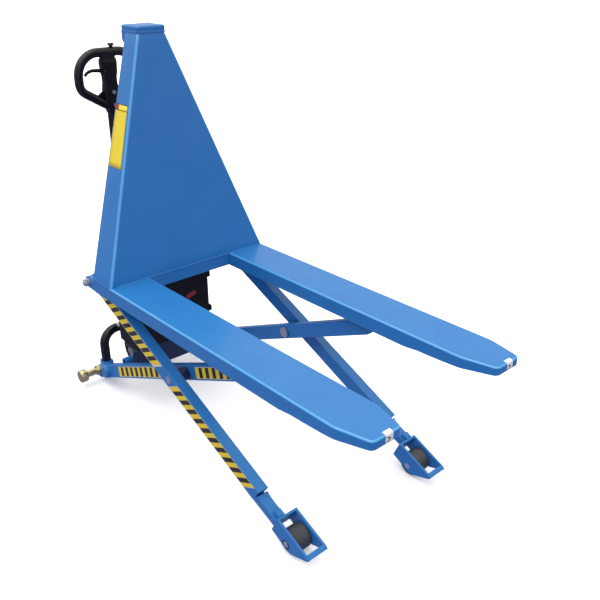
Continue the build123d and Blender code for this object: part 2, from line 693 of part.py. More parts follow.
# ---- write every piece --------------------------------------------------------------------------------
save("yoke_hoop", yoke_hoop())
save_sides("side_member", side_member())
save("base_pivot_pins", pair(base_pivot_pin()))
save("deck_plate", deck_plate())
save("front_guard", front_guard())
save("steering_head", steering_head())
save("battery_case", battery_case())
save("case_lid", case_lid())
save("case_latches", case_latches())
save("batteries", batteries())
save("pump_unit", pump_unit())
save("cylinder_barrel", cylinder_barrel())
save("cylinder_gland", cylinder_gland())
save("cylinder_stage", cylinder_stage())
save("cylinder_rod", cylinder_rod())

save("steer_block", steer_block())
save("steer_axle", steer_axle())
save("axle_nuts", pair(axle_nut()))
save_sides("steer_tyre", steer_tyre())
save_sides("steer_hub", steer_hub())
save("tiller_yoke", tiller_yoke())
save("tiller_pivot_pin", tiller_pivot_pin())

save("tiller_tube", tiller_tube())
save("tiller_loop", tiller_loop())
save("tiller_head", tiller_head())
save("head_bolts", head_bolts())
save("lift_lever", lift_lever())
save("lever_pin", lever_pin())
save("push_button", push_button())

save_sides("inner_arm", inner_arm())
save("base_bushes", pair(pivot_bush(BASE_PIVOT, BASE_PIN_R, INNER_ARM_Y[0] - 1, BOSS_END)))
save("centre_bushes", pair(pivot_bush(CENTRE_PIVOT, CENTRE_PIN_R, *INNER_ARM_Y)))
save("inner_cross_tube", inner_cross_tube())
save("stabiliser_pins", pair(stabiliser_pin()))
save("stabiliser_nuts", pair(stabiliser_nut()))
save("slider_axles", pair(slider_axle()))
save_sides("slider_roller", slider_roller())

save_sides("outer_arm", outer_arm())
save("centre_pins", pair(centre_pin()))
save("centre_spacers", pair(centre_spacer()))
save("heel_bushes", pair(heel_bush()))
save_sides("roller_frame", roller_frame())
save("roller_axles", pair(roller_axle()))
save_sides("load_roller", load_roller())

save_sides("fork", fork())
save("heel_frame", heel_frame())
save("heel_pins", pair(heel_pin()))
save("mast_front_plate", mast_front_plate())
save_sides("mast_side", mast_side())
save("mast_cap", mast_cap())
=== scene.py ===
"""Electric high-lift scissor pallet truck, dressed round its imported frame."""
import json
import math

import bmesh
import bpy
from mathutils import Matrix, Vector


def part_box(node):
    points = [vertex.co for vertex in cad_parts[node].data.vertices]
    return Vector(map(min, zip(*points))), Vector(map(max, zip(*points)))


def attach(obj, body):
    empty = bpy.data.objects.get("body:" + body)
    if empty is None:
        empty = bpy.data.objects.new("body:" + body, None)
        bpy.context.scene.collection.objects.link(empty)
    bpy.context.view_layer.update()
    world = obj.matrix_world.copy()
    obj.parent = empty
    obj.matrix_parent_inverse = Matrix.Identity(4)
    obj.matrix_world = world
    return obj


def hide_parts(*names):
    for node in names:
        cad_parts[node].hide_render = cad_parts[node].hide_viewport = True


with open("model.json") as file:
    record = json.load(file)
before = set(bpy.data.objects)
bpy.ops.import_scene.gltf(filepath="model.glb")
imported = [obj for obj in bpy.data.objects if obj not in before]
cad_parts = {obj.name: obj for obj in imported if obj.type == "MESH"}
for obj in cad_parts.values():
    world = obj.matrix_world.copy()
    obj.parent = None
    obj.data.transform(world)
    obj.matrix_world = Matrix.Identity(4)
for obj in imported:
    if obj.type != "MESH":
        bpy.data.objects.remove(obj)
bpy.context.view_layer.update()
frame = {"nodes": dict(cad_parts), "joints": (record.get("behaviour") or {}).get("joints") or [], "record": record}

# ---- Camera -------------------------------------------------------------------------------------------
# A standing person's view of the truck from ahead of its right fork, looking down along the blades.
camera_data = bpy.data.cameras.new("camera")
camera_data.sensor_width = 36.0
camera_data.lens = 43.98
camera = bpy.data.objects.new("camera", camera_data)
bpy.context.scene.collection.objects.link(camera)
eye = Vector((1.8194, -1.4120, 1.6446))
heading, dip = math.radians(137.9), math.radians(-25.25)
sight = Vector((math.cos(dip) * math.cos(heading), math.cos(dip) * math.sin(heading), math.sin(dip)))
camera.matrix_world = Matrix.Translation(eye) @ sight.to_track_quat("-Z", "Y").to_matrix().to_4x4()
bpy.context.scene.camera = camera
bpy.context.scene.view_settings.view_transform = "Standard"

# ---- Floor and light ----------------------------------------------------------------------------------
# A white studio sweep that the camera sees as plain white. The truck is lit by a sky that is bluish low
# down and brighter overhead, and by one very broad lamp overhead, a little to the truck's right, which
# leaves only a faint shadow.
floor_mesh = bpy.data.meshes.new("floor")
floor_mesh.from_pydata([(-150, -150, 0), (150, -150, 0), (150, 150, 0), (-150, 150, 0)], [], [(0, 1, 2, 3)])
floor = bpy.data.objects.new("floor", floor_mesh)
bpy.context.scene.collection.objects.link(floor)
floor.visible_diffuse = False
floor.visible_glossy = False

floor_paint = bpy.data.materials.new("floor_paint")
floor_paint.use_nodes = True
floor_shader = floor_paint.node_tree.nodes["Principled BSDF"]
floor_shader.inputs["Base Color"].default_value = (0.97, 0.97, 0.97, 1)
floor_shader.inputs["Emission Color"].default_value = (1, 1, 1, 1)
floor_shader.inputs["Emission Strength"].default_value = 0.22
floor_shader.inputs["Roughness"].default_value = 0.95
floor_shader.inputs["Specular IOR Level"].default_value = 0.0
floor_mesh.materials.append(floor_paint)

sky = bpy.data.worlds.new("studio")
bpy.context.scene.world = sky
sky.use_nodes = True
sky_nodes, sky_links = sky.node_tree.nodes, sky.node_tree.links
sky_place = sky_nodes.new("ShaderNodeTexCoord")
sky_split = sky_nodes.new("ShaderNodeSeparateXYZ")
sky_links.new(sky_place.outputs["Generated"], sky_split.inputs["Vector"])
sky_rise = sky_nodes.new("ShaderNodeMapRange")
sky_rise.inputs["From Min"].default_value = -0.2
sky_rise.inputs["From Max"].default_value = 0.7
sky_links.new(sky_split.outputs["Z"], sky_rise.inputs["Value"])
sky_tint = sky_nodes.new("ShaderNodeValToRGB")
sky_tint.color_ramp.elements[0].color = (0.25, 0.26, 0.44, 1)
sky_tint.color_ramp.elements[1].color = (1.0, 1.0, 0.95, 1)
sky_links.new(sky_rise.outputs["Result"], sky_tint.inputs["Fac"])
sky_links.new(sky_tint.outputs["Color"], sky_nodes["Background"].inputs["Color"])
sky_nodes["Background"].inputs["Strength"].default_value = 1.15
seen_sky = sky_nodes.new("ShaderNodeBackground")
sky_rays = sky_nodes.new("ShaderNodeLightPath")
sky_mix = sky_nodes.new("ShaderNodeMixShader")
sky_links.new(sky_rays.outputs["Is Camera Ray"], sky_mix.inputs["Fac"])
sky_links.new(sky_nodes["Background"].outputs["Background"], sky_mix.inputs[1])
sky_links.new(seen_sky.outputs["Background"], sky_mix.inputs[2])
sky_links.new(sky_mix.outputs["Shader"], sky_nodes["World Output"].inputs["Surface"])
seen_sky.inputs["Color"].default_value = (1, 1, 1, 1)
seen_sky.inputs["Strength"].default_value = 1.0

overhead_data = bpy.data.lights.new("overhead", "SUN")
overhead_data.energy = 1.5
overhead_data.angle = math.radians(75)
overhead = bpy.data.objects.new("overhead", overhead_data)
bpy.context.scene.collection.objects.link(overhead)
overhead_aim = Vector((0.05, 0.30, -0.95)).to_track_quat("-Z", "Y").to_matrix().to_4x4()
overhead.matrix_world = Matrix.Translation((0, -1.0, 4.0)) @ overhead_aim

# ---- Finishes -----------------------------------------------------------------------------------------
# The truck's paints, platings and mouldings. Each has a cloudy change of shade, a grain in its surface and
# the marks of handling: the recipe is shared, the numbers are each finish's own.


def finish(name, colour, worn, roughness, metal=0.0, grain=400.0, relief=0.05, marks=0.25, coat=0.0,
           shine=0.5):
    """A surface that drifts between two shades, with rougher rubbed patches and a fine relief."""
    material = bpy.data.materials.new(name)
    material.use_nodes = True
    nodes, links = material.node_tree.nodes, material.node_tree.links
    shader = nodes["Principled BSDF"]
    place = nodes.new("ShaderNodeTexCoord")

    clouds = nodes.new("ShaderNodeTexNoise")
    clouds.inputs["Scale"].default_value = 7.0
    clouds.inputs["Detail"].default_value = 6.0
    links.new(place.outputs["Object"], clouds.inputs["Vector"])
    shade = nodes.new("ShaderNodeValToRGB")
    shade.color_ramp.elements[0].position = 0.35
    shade.color_ramp.elements[0].color = (*colour, 1)
    shade.color_ramp.elements[1].position = 0.75
    shade.color_ramp.elements[1].color = (*[0.82 * c + 0.18 * w for c, w in zip(colour, worn)], 1)
    links.new(clouds.outputs["Fac"], shade.inputs["Fac"])

    rubs = nodes.new("ShaderNodeTexNoise")
    rubs.inputs["Scale"].default_value = 38.0
    rubs.inputs["Detail"].default_value = 9.0
    rubs.inputs["Roughness"].default_value = 0.72
    links.new(place.outputs["Object"], rubs.inputs["Vector"])
    rub_mask = nodes.new("ShaderNodeMapRange")
    rub_mask.inputs["From Min"].default_value = 0.66
    rub_mask.inputs["From Max"].default_value = 0.74
    rub_mask.inputs["To Max"].default_value = marks
    links.new(rubs.outputs["Fac"], rub_mask.inputs["Value"])
    rubbed = nodes.new("ShaderNodeMixRGB")
    rubbed.inputs["Color2"].default_value = (*worn, 1)
    links.new(rub_mask.outputs["Result"], rubbed.inputs["Fac"])
    links.new(shade.outputs["Color"], rubbed.inputs["Color1"])
    links.new(rubbed.outputs["Color"], shader.inputs["Base Color"])

    dull = nodes.new("ShaderNodeMapRange")
    dull.inputs["From Min"].default_value = 0.3
    dull.inputs["From Max"].default_value = 0.7
    dull.inputs["To Min"].default_value = roughness * 0.8
    dull.inputs["To Max"].default_value = min(1.0, roughness * 1.3 + 0.03)
    links.new(rubs.outputs["Fac"], dull.inputs["Value"])
    links.new(dull.outputs["Result"], shader.inputs["Roughness"])

    texture = nodes.new("ShaderNodeTexNoise")
    texture.inputs["Scale"].default_value = grain
    texture.inputs["Detail"].default_value = 3.0
    links.new(place.outputs["Object"], texture.inputs["Vector"])
    bump = nodes.new("ShaderNodeBump")
    bump.inputs["Strength"].default_value = relief
    bump.inputs["Distance"].default_value = 0.001
    links.new(texture.outputs["Fac"], bump.inputs["Height"])
    links.new(bump.outputs["Normal"], shader.inputs["Normal"])

    shader.inputs["Metallic"].default_value = metal
    shader.inputs["Specular IOR Level"].default_value = shine
    shader.inputs["Coat Weight"].default_value = coat
    shader.inputs["Coat Roughness"].default_value = 0.12
    return material


finishes = {
    "blue_paint": finish("blue_paint", (0.018, 0.168, 0.47), (0.05, 0.26, 0.56), 0.34,
                         grain=260, relief=0.10, marks=0.2, coat=0.2, shine=0.35),
    "black_paint": finish("black_paint", (0.004, 0.004, 0.005), (0.03, 0.03, 0.034), 0.24,
                          grain=300, relief=0.08, marks=0.2, coat=0.15, shine=0.3),
    "black_plastic": finish("black_plastic", (0.005, 0.005, 0.006), (0.03, 0.03, 0.034), 0.5,
                            grain=900, relief=0.35, marks=0.3, shine=0.22),
    "tyre_rubber": finish("tyre_rubber", (0.010, 0.010, 0.011), (0.05, 0.048, 0.046), 0.72,
                          grain=600, relief=0.45, marks=0.5),
    "hub_plastic": finish("hub_plastic", (0.012, 0.012, 0.014), (0.05, 0.05, 0.055), 0.5,
                          grain=700, relief=0.25, marks=0.4),
    "roller_nylon": finish("roller_nylon", (0.045, 0.047, 0.052), (0.13, 0.13, 0.13), 0.5,
                           grain=500, relief=0.2, marks=0.6),
    "yellow_zinc": finish("yellow_zinc", (0.62, 0.52, 0.28), (0.82, 0.74, 0.52), 0.3, metal=1.0,
                          grain=350, relief=0.08, marks=0.5),
    "bright_zinc": finish("bright_zinc", (0.62, 0.63, 0.64), (0.85, 0.85, 0.85), 0.3, metal=1.0,
                          grain=420, relief=0.08, marks=0.5),
    "hard_chrome": finish("hard_chrome", (0.78, 0.79, 0.8), (0.9, 0.9, 0.9), 0.09, metal=1.0,
                          grain=300, relief=0.02, marks=0.2),
    "bronze": finish("bronze", (0.42, 0.26, 0.11), (0.6, 0.42, 0.2), 0.42, metal=1.0,
                     grain=800, relief=0.15, marks=0.4),
    "button_plastic": finish("button_plastic", (0.02, 0.02, 0.022), (0.06, 0.06, 0.065), 0.22,
                             grain=500, relief=0.05, marks=0.2),
}
tape_yellow = finish("tape_yellow", (0.86, 0.62, 0.015), (0.72, 0.55, 0.10), 0.42, grain=500, relief=0.06)
tape_black = finish("tape_black", (0.014, 0.011, 0.008), (0.08, 0.07, 0.05), 0.42, grain=500, relief=0.06)
tape_edge = finish("tape_edge", (0.72, 0.68, 0.42), (0.5, 0.48, 0.36), 0.45, grain=500, relief=0.06)
label_yellow = finish("label_yellow", (0.88, 0.66, 0.012), (0.9, 0.74, 0.12), 0.35, grain=400, relief=0.04)
label_red = finish("label_red", (0.42, 0.015, 0.012), (0.5, 0.1, 0.08), 0.4, grain=400, relief=0.04)
label_white = finish("label_white", (0.82, 0.82, 0.80), (0.6, 0.6, 0.58), 0.4, grain=400, relief=0.04)
label_grey = finish("label_grey", (0.42, 0.43, 0.44), (0.6, 0.6, 0.6), 0.4, grain=400, relief=0.04)
# A lighter blue laid on the mast's folds and the blades' rolled edges: a painted highlight where light would catch
# the bends.
fold_highlight_blue = finish("fold_highlight_blue", (0.075, 0.34, 0.68), (0.14, 0.42, 0.72), 0.25,
                   grain=260, relief=0.05, coat=0.3)
# A dark navy that stands for blue paint lying in deep shadow: painted shade.
painted_shade_navy = finish("painted_shade_navy", (0.006, 0.016, 0.06), (0.02, 0.04, 0.1), 0.5, grain=260, relief=0.10)

slot_of = {row["node"]: row["material_slot"] for row in frame["record"]["subparts"]}
for node_name, node in frame["nodes"].items():
    node.data.materials.clear()
    node.data.materials.append(finishes[slot_of[node_name]])
# The front guard and centre spacers are blue paint in the fork's and mast's shadow; they get the dark navy as
# painted shade.
for node_name in ("front_guard", "centre_spacers"):
    frame["nodes"][node_name].data.materials[0] = painted_shade_navy

# ---- Fork blades --------------------------------------------------------------------------------------
# Each blade is one pressing of 6 mm plate from behind the mast to the tip: a flat top, edges rolled over a
# former, and skirts that grow shallower towards the tip, which is folded round to a blunt nose.
mast_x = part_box("fork_left")[0].x
fork_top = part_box("fork_left")[1].z
fork_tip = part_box("fork_left")[1].x
fork_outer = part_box("fork_left")[1].y
fork_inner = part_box("fork_left")[0].y
pivot = {joint["name"]: Vector(joint["pos_m"]) for joint in frame["joints"] if "pos_m" in joint}
sides = (("left", 1), ("right", -1))
blade_plate = 0.006
blade_depth = 0.052
blade_roll = 0.007
heel_back = mast_x - 0.125
tip_half = 0.057
tip_taper = 0.120
blade_mid = (fork_inner + fork_outer) / 2
blade_half = (fork_outer - fork_inner) / 2


def piece_from(name, bm, slot, body, smooth_angle=35.0):
    """Turns a finished bmesh into a piece with its finish, smooth across its gentle bends."""
    bmesh.ops.remove_doubles(bm, verts=bm.verts, dist=1e-6)
    bmesh.ops.recalc_face_normals(bm, faces=bm.faces)
    mesh = bpy.data.meshes.new(name)
    bm.to_mesh(mesh)
    bm.free()
    for face in mesh.polygons:
        face.use_smooth = True
    mesh.set_sharp_from_angle(angle=math.radians(smooth_angle))
    piece = bpy.data.objects.new(name, mesh)
    bpy.context.scene.collection.objects.link(piece)
    mesh.materials.append(finishes[slot] if isinstance(slot, str) else slot)
    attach(piece, body)
    return piece


def even_shade(piece):
    """Keeps broad flat faces flat in their shading beside narrow bends."""
    piece.modifiers.new("even", "WEIGHTED_NORMAL").keep_sharp = True
    return piece


def skin(bm, rings):
    """Sides through closed rings of vertices, and a face over each end."""
    count = len(rings[0])
    for ring, following in zip(rings, rings[1:]):
        for i in range(count):
            j = (i + 1) % count
            bm.faces.new((ring[i], ring[j], following[j], following[i]))
    bm.faces.new(rings[0])
    bm.faces.new(rings[-1])


def blade_outline():
    """Plan of the blade from the heel's right corner round the tip, with the nose corners rounded."""
    corner = 0.018
    taper_x = fork_tip - tip_taper
    nose = math.atan2(blade_half - tip_half, tip_taper)
    points = [(heel_back, -blade_half), (taper_x - 0.05, -blade_half)]
    for t in (0.0, 0.5, 1.0):
        points.append((taper_x - 0.012 + 0.024 * t, -blade_half + 0.006 * t * t * nose))
    for i in range(7):
        a = -math.pi / 2 + nose + (math.pi / 2 - nose) * i / 6
        points.append((fork_tip - corner + corner * math.cos(a), -tip_half + corner + corner * math.sin(a)))
    lip = blade_half - blade_plate - 0.0005
    return points + [(x, -y) for x, y in reversed(points)] + [(heel_back, lip), (heel_back, -lip)]


def blade_skirt(x, y):
    """How far the skirt hangs below the top: the channel's heel end is left open for the arms."""
    if x < heel_back + 0.001 and abs(y) < blade_half - blade_plate:
        return blade_plate + 0.001
    shallow_from, shallow_full = fork_tip - 0.30, fork_tip - 0.284
    if x < shallow_from:
        return blade_depth
    if x < shallow_full:
        return blade_depth - 0.006 * (x - shallow_from) / (shallow_full - shallow_from)
    to_tip = (x - shallow_full) / (fork_tip - shallow_full)
    return blade_depth - 0.006 - 0.018 * to_tip ** 1.6


def inset(points, distance):
    """The outline moved inward by a distance, all the way round."""
    moved = []
    count = len(points)
    for i in range(count):
        before, here, after = Vector(points[i - 1]), Vector(points[i]), Vector(points[(i + 1) % count])
        first, second = (here - before).normalized(), (after - here).normalized()
        normal = Vector((-(first.y + second.y), first.x + second.x)).normalized()
        share = max(0.5, normal.dot(Vector((-first.y, first.x))))
        moved.append(here + normal * distance / share)
    return moved


def skirt_stations(points):
    """More points along the straight sides, so that the skirt's low edge can follow its curve."""
    full = []
    for a, b in zip(points, points[1:] + points[:1]):
        steps = max(1, int((Vector(b) - Vector(a)).length / 0.05))
        full += [tuple(Vector(a).lerp(Vector(b), i / steps)) for i in range(steps)]
    return full


for hand, side in sides:
    outline = skirt_stations(blade_outline())
    bm = bmesh.new()
    rings = []
    for k in range(6):
        a = math.pi / 2 * k / 5
        drop, step_in = blade_roll * (1 - math.cos(a)), blade_roll * (1 - math.sin(a))
        rings.append([(p.x, p.y, fork_top - drop) for p in inset(outline, step_in)])
    depths = [blade_skirt(x, y) for x, y in outline]
    rings.append([(x, y, fork_top - d + 0.0008) for (x, y), d in zip(outline, depths)])
    rings.append([(p.x, p.y, fork_top - d) for p, d in zip(inset(outline, 0.0008), depths)])
    rings.append([(p.x, p.y, fork_top - d) for p, d in zip(inset(outline, blade_plate), depths)])
    rings.append([(p.x, p.y, fork_top - blade_plate) for p in inset(outline, blade_plate)])
    built = []
    for ring in rings:
        built.append([bm.verts.new((x, side * blade_mid + side * y, z)) for x, y, z in ring])
    skin(bm, built)
    blade = piece_from(f"blade_{hand}", bm, "blue_paint", "fork_carriage", smooth_angle=40)
    # The narrow upward-facing faces on each rolled edge take the lighter blue as a painted highlight.
    blade.data.materials.append(fold_highlight_blue)
    for face in blade.data.polygons:
        on_roll = fork_top - 0.75 * blade_roll < face.center.z < fork_top - 0.0008
        if on_roll and face.normal.z > 0.25 and face.area < 0.0006:
            face.material_index = 1
    even_shade(blade)
    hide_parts(f"fork_{hand}")

# ---- Fork heel ----------------------------------------------------------------------------------------
# A cross plate welded between the blades, and on each heel two flame-cut lugs that run back to a rounded
# eye for the scissor pivot. The pivot's nut and washer are bright zinc.
heel = pivot["heel_pivot"]


def ease_edges(piece, width):
    """Rolled or ground edges, as wide as the width."""
    bevel = piece.modifiers.new("eased", "BEVEL")
    bevel.width = width
    bevel.segments = 3
    bevel.limit_method = "ANGLE"
    bevel.angle_limit = math.radians(30)
    bevel.harden_normals = True
    return piece


def slab(name, near_outline, far_outline, slot, body, ease):
    """A flat-cut plate between two copies of its outline, with its burrs taken off."""
    bm = bmesh.new()
    near = [bm.verts.new(p) for p in near_outline]
    far = [bm.verts.new(p) for p in far_outline]
    bm.faces.new(near)
    bm.faces.new(far[::-1])
    for i in range(len(near)):
        j = (i + 1) % len(near)
        bm.faces.new((near[i], far[i], far[j], near[j]))
    return ease_edges(piece_from(name, bm, slot, body), ease)


def plate(name, outline, y0, y1, slot, body, ease=0.0012):
    """A plate whose outline is in X and Z, reaching from y0 to y1."""
    near = [(x, y0, z) for x, z in outline]
    far = [(x, y1, z) for x, z in outline]
    return slab(name, near, far, slot, body, ease)


def arc(centre, radius, start, end, steps=10):
    """Points round part of a circle in X and Z, angles in degrees."""
    x, z = centre
    turns = [math.radians(start + (end - start) * i / steps) for i in range(steps + 1)]
    return [(x + radius * math.cos(a), z + radius * math.sin(a)) for a in turns]


def turned(name, profile, centre, slot, body, axis="Y", steps=64, side=1):
    """A part turned on a lathe: (along the axis, radius) pairs spun round the centre."""
    bm = bmesh.new()
    rings = []
    for along, radius in profile:
        ring = []
        for i in range(steps):
            a = 2 * math.pi * i / steps
            u, v = radius * math.cos(a), radius * math.sin(a)
            place = Vector((u, side * along, v)) if axis == "Y" else Vector((u, v, along))
            ring.append(bm.verts.new(Vector(centre) + place))
        rings.append(ring)
    for ring, following in zip(rings, rings[1:]):
        for i in range(steps):
            j = (i + 1) % steps
            bm.faces.new((ring[i], ring[j], following[j], following[i]))
    for end in (rings[0], rings[-1]):
        if (end[0].co - end[steps // 2].co).length > 1e-5:
            bm.faces.new(end)
    return piece_from(name, bm, slot, body)


crossplate = plate("heel_crossplate",
                   [(mast_x - 0.008, fork_top - 0.048), (mast_x, fork_top - 0.048),
                    (mast_x, fork_top), (mast_x - 0.008, fork_top)],
                   -fork_inner - 0.001, fork_inner + 0.001, "blue_paint", "fork_carriage")
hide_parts("heel_frame")
lug_eye = 0.022
for hand, side in sides:
    for label, y0, y1 in (("inner", 0.262, 0.270), ("outer", 0.321, fork_outer - 0.0002)):
        lug_outline = [(mast_x - 0.02, fork_top - blade_depth), (mast_x - 0.02, fork_top - 0.001),
                       (heel.x + 0.012, fork_top - 0.0025)]
        lug_outline += arc((heel.x, heel.z), lug_eye, 80, 270, 14)
        lug_outline += [(mast_x - 0.090, fork_top - blade_depth)]
        plate(f"heel_lug_{label}_{hand}", lug_outline, side * y0, side * y1, "blue_paint", "fork_carriage")
    nut_start = fork_outer
    washer = [(nut_start, 0.0), (nut_start, 0.0155), (nut_start + 0.0004, 0.016),
              (nut_start + 0.0026, 0.016),
              (nut_start + 0.003, 0.0155), (nut_start + 0.003, 0.0)]
    turned(f"heel_washer_{hand}", washer, (heel.x, 0, heel.z), "bright_zinc", "fork_carriage", side=side)
    bm = bmesh.new()
    nut_rings = []
    for along, radius in ((0.003, 0.0138), (0.0042, 0.0148), (0.0148, 0.0148), (0.016, 0.0138)):
        ring = []
        for i in range(6):
            a = math.pi / 3 * i
            ring.append(bm.verts.new((heel.x + radius * math.cos(a), side * (nut_start + along),
                                      heel.z + radius * math.sin(a))))
        nut_rings.append(ring)
    skin(bm, nut_rings)
    piece_from(f"heel_nut_{hand}", bm, "bright_zinc", "fork_carriage")
    thread = [(0.258, 0.0), (0.258, 0.0125), (nut_start, 0.0125), (nut_start, 0.0078)]
    for i in range(4):
        thread += [(nut_start + 0.0162 + 0.0009 * i, 0.0078), (nut_start + 0.01665 + 0.0009 * i, 0.0072)]
    thread += [(nut_start + 0.0198, 0.0068), (nut_start + 0.0198, 0.0)]
    stud = turned(f"heel_stud_{hand}", thread, (heel.x, 0, heel.z), "bright_zinc", "fork_carriage",
                  side=side)
    if side == 1:
        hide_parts("heel_pins")

# ---- Mast ---------------------------------------------------------------------------------------------
# One sheet of 5 mm steel folded at both front corners into a tapering, leaning trough that stands on the
# heels, welded along its foot. The folds carry a lighter blue as a painted highlight along the bend.
mast_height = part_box("mast_front_plate")[1].z - fork_top
mast_sheet = 0.005
top_front = mast_x - 0.150
top_back = mast_x - 0.231
top_half = 0.0553
fold_radius = 0.010


def mast_section(t):
    """Outer line of the mast at a share of its height: back edge, fold, front, fold, back edge."""
    front = mast_x + (top_front - mast_x) * t
    back = heel_back + (top_back - heel_back) * t
    half = fork_outer + (top_half - fork_outer) * t
    z = fork_top + mast_height * t
    line = [(back, half, z), ((back + front) / 2, half, z)]
    for i in range(7):
        a = math.pi / 2 * i / 6
        line.append((front - fold_radius + fold_radius * math.sin(a),
                     half - fold_radius + fold_radius * math.cos(a), z))
    line += [(front, half * share, z) for share in (0.6, 0.3)]
    return line + [(x, -y, z) for x, y, z in reversed(line)]


def sheet(bm, rows):
    """Faces between rows of vertices, open at its four edges."""
    for row, following in zip(rows, rows[1:]):
        for i in range(len(row) - 1):
            bm.faces.new((row[i], row[i + 1], following[i + 1], following[i]))


bm = bmesh.new()
levels = 24
mast_rows = []
for level in range(levels + 1):
    mast_rows.append([bm.verts.new(p) for p in mast_section(level / levels)])
sheet(bm, mast_rows)
mast = piece_from("mast_shell", bm, "blue_paint", "fork_carriage", smooth_angle=50)
# The fold faces get the lighter blue: a painted highlight, not a paint of their own.
mast.data.materials.append(fold_highlight_blue)
for face in mast.data.polygons:
    if face.normal.x > 0.2 and abs(face.normal.y) > 0.2:
        face.material_index = 1
mast_wall = mast.modifiers.new("wall", "SOLIDIFY")
mast_wall.thickness = mast_sheet
mast_wall.offset = -1.0
mast_wall.use_even_offset = True
even_shade(mast)
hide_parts("mast_front_plate", "mast_side_left", "mast_side_right")


def weld_bead(name, start, end, radius, body):
    """A run of weld under the paint: a low ridge of overlapping ripples."""
    bm = bmesh.new()
    start, end = Vector(start), Vector(end)
    run = end - start
    steps = max(8, int(run.length / 0.0028))
    across = run.normalized().orthogonal().normalized()
    other = run.normalized().cross(across)
    rings = []
    for i in range(steps + 1):
        size = radius * (0.86 + 0.14 * abs(math.sin(i * 0.9)))
        size *= 0.6 if i in (0, steps) else 1.0
        middle = start + run * (i / steps)
        rings.append([bm.verts.new(middle + (across * math.cos(a) + other * math.sin(a)) * size)
                      for a in [math.pi / 4 * k for k in range(8)]])
    skin(bm, rings)
    return piece_from(name, bm, "blue_paint", body, smooth_angle=70)


weld_bead("mast_foot_weld", (mast_x - 0.001, -fork_outer + 0.02, fork_top),
          (mast_x - 0.001, fork_outer - 0.02, fork_top), 0.0028, "fork_carriage")
for hand, side in sides:
    weld_bead(f"mast_side_weld_{hand}", (heel_back + 0.004, side * (fork_outer - 0.0016), fork_top),
              (mast_x - 0.02, side * (fork_outer - 0.0016), fork_top), 0.0026, "fork_carriage")

# ---- Mast cap -----------------------------------------------------------------------------------------
# A pressed cap that closes the mast's top and takes the ram's thrust. Its skirt has a rolled step all
# round. A tab is bent down the back, with a thin cheek at each side of it.
cap_low, cap_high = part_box("mast_cap")
cap_base = fork_top + mast_height
cap_back, cap_front = cap_low.x, cap_high.x
cap_half = cap_high.y
cap_rise = cap_high.z - cap_base


def rounded_oblong(x0, x1, half, radius, z, steps=6):
    """Plan of a rounded rectangle at one height."""
    corners = [(x1 - radius, half - radius, 0), (x0 + radius, half - radius, 90),
               (x0 + radius, radius - half, 180), (x1 - radius, radius - half, 270)]
    ring = []
    for cx, cy, start in corners:
        for i in range(steps + 1):
            a = math.radians(start + 90 * i / steps)
            ring.append((cx + radius * math.cos(a), cy + radius * math.sin(a), z))
    return ring


def lofted(name, rings, slot, body, smooth_angle=40.0):
    """A skin through rings of equal count, closed at both ends."""
    bm = bmesh.new()
    skin(bm, [[bm.verts.new(p) for p in ring] for ring in rings])
    return even_shade(piece_from(name, bm, slot, body, smooth_angle))


cap_profile = [(0.0, 0.0), (0.0, 0.30), (0.0012, 0.36), (0.0012, 0.42), (0.0, 0.48), (0.0, 0.72)]
cap_profile += [(0.007 * (1 - math.cos(math.pi / 2 * i / 5)), 0.72 + 0.28 * math.sin(math.pi / 2 * i / 5))
                for i in range(1, 6)]
cap_rings = [rounded_oblong(cap_back + d, cap_front - d, cap_half - d, 0.009, cap_base + cap_rise * share)
             for d, share in cap_profile]
cap = lofted("mast_cap_pressing", cap_rings, "blue_paint", "fork_carriage")
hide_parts("mast_cap")
tab_bottom = cap_base - 0.034
tab_corner = 0.012
tab_outline = [(cap_half - 0.004, cap_base + 0.016), (-cap_half + 0.004, cap_base + 0.016)]
tab_outline += [(y, z) for y, z in arc((-cap_half + 0.004 + tab_corner, tab_bottom + tab_corner), tab_corner,
                                       180, 270, 6)]
tab_outline += [(y, z) for y, z in arc((cap_half - 0.004 - tab_corner, tab_bottom + tab_corner), tab_corner,
                                       270, 360, 6)]
tab_near = [(cap_back + 0.0005, y, z) for y, z in tab_outline]
tab_far = [(cap_back + 0.006, y, z) for y, z in tab_outline]
slab("mast_cap_tab", tab_near, tab_far, "blue_paint", "fork_carriage", 0.0012)
for hand, side in sides:
    cheek_outline = [(cap_back + 0.001, tab_bottom + 0.010), (cap_back + 0.004, tab_bottom + 0.003),
                     (cap_back + 0.010, tab_bottom), (cap_back + 0.034, tab_bottom),
                     (cap_back + 0.034, cap_base + 0.006), (cap_back + 0.001, cap_base + 0.006)]
    plate(f"mast_cap_cheek_{hand}", cheek_outline, side * (cap_half - 0.006), side * (cap_half - 0.0008),
          "blue_paint", "fork_carriage")
    plate(f"ram_guide_{hand}", [(top_back + 0.006, cap_base - 0.048), (top_front - 0.012, cap_base - 0.048),
                                (top_front - 0.012, cap_base + 0.004), (top_back + 0.006, cap_base + 0.004)],
          side * 0.024, side * 0.030, "blue_paint", "fork_carriage")

# ---- Mast label ---------------------------------------------------------------------------------------
# A printed yellow vinyl sheet on the right side panel, left blank, with a header strip across its top.
# A red block closes the strip's rear end, and all of it is film stuck flat on the paint.


def on_side_panel(t, depth, proud):
    """Point on the right side panel: share of its height, share of its depth from the fold, and lift-off."""
    front = mast_x + (top_front - mast_x) * t - fold_radius
    back = heel_back + (top_back - heel_back) * t
    half = fork_outer + (top_half - fork_outer) * t
    lean = math.atan2(fork_outer - top_half, mast_height)
    out = Vector((0, -math.cos(lean), math.sin(lean)))
    return Vector((front + (back - front) * depth, -half, fork_top + mast_height * t)) + out * proud


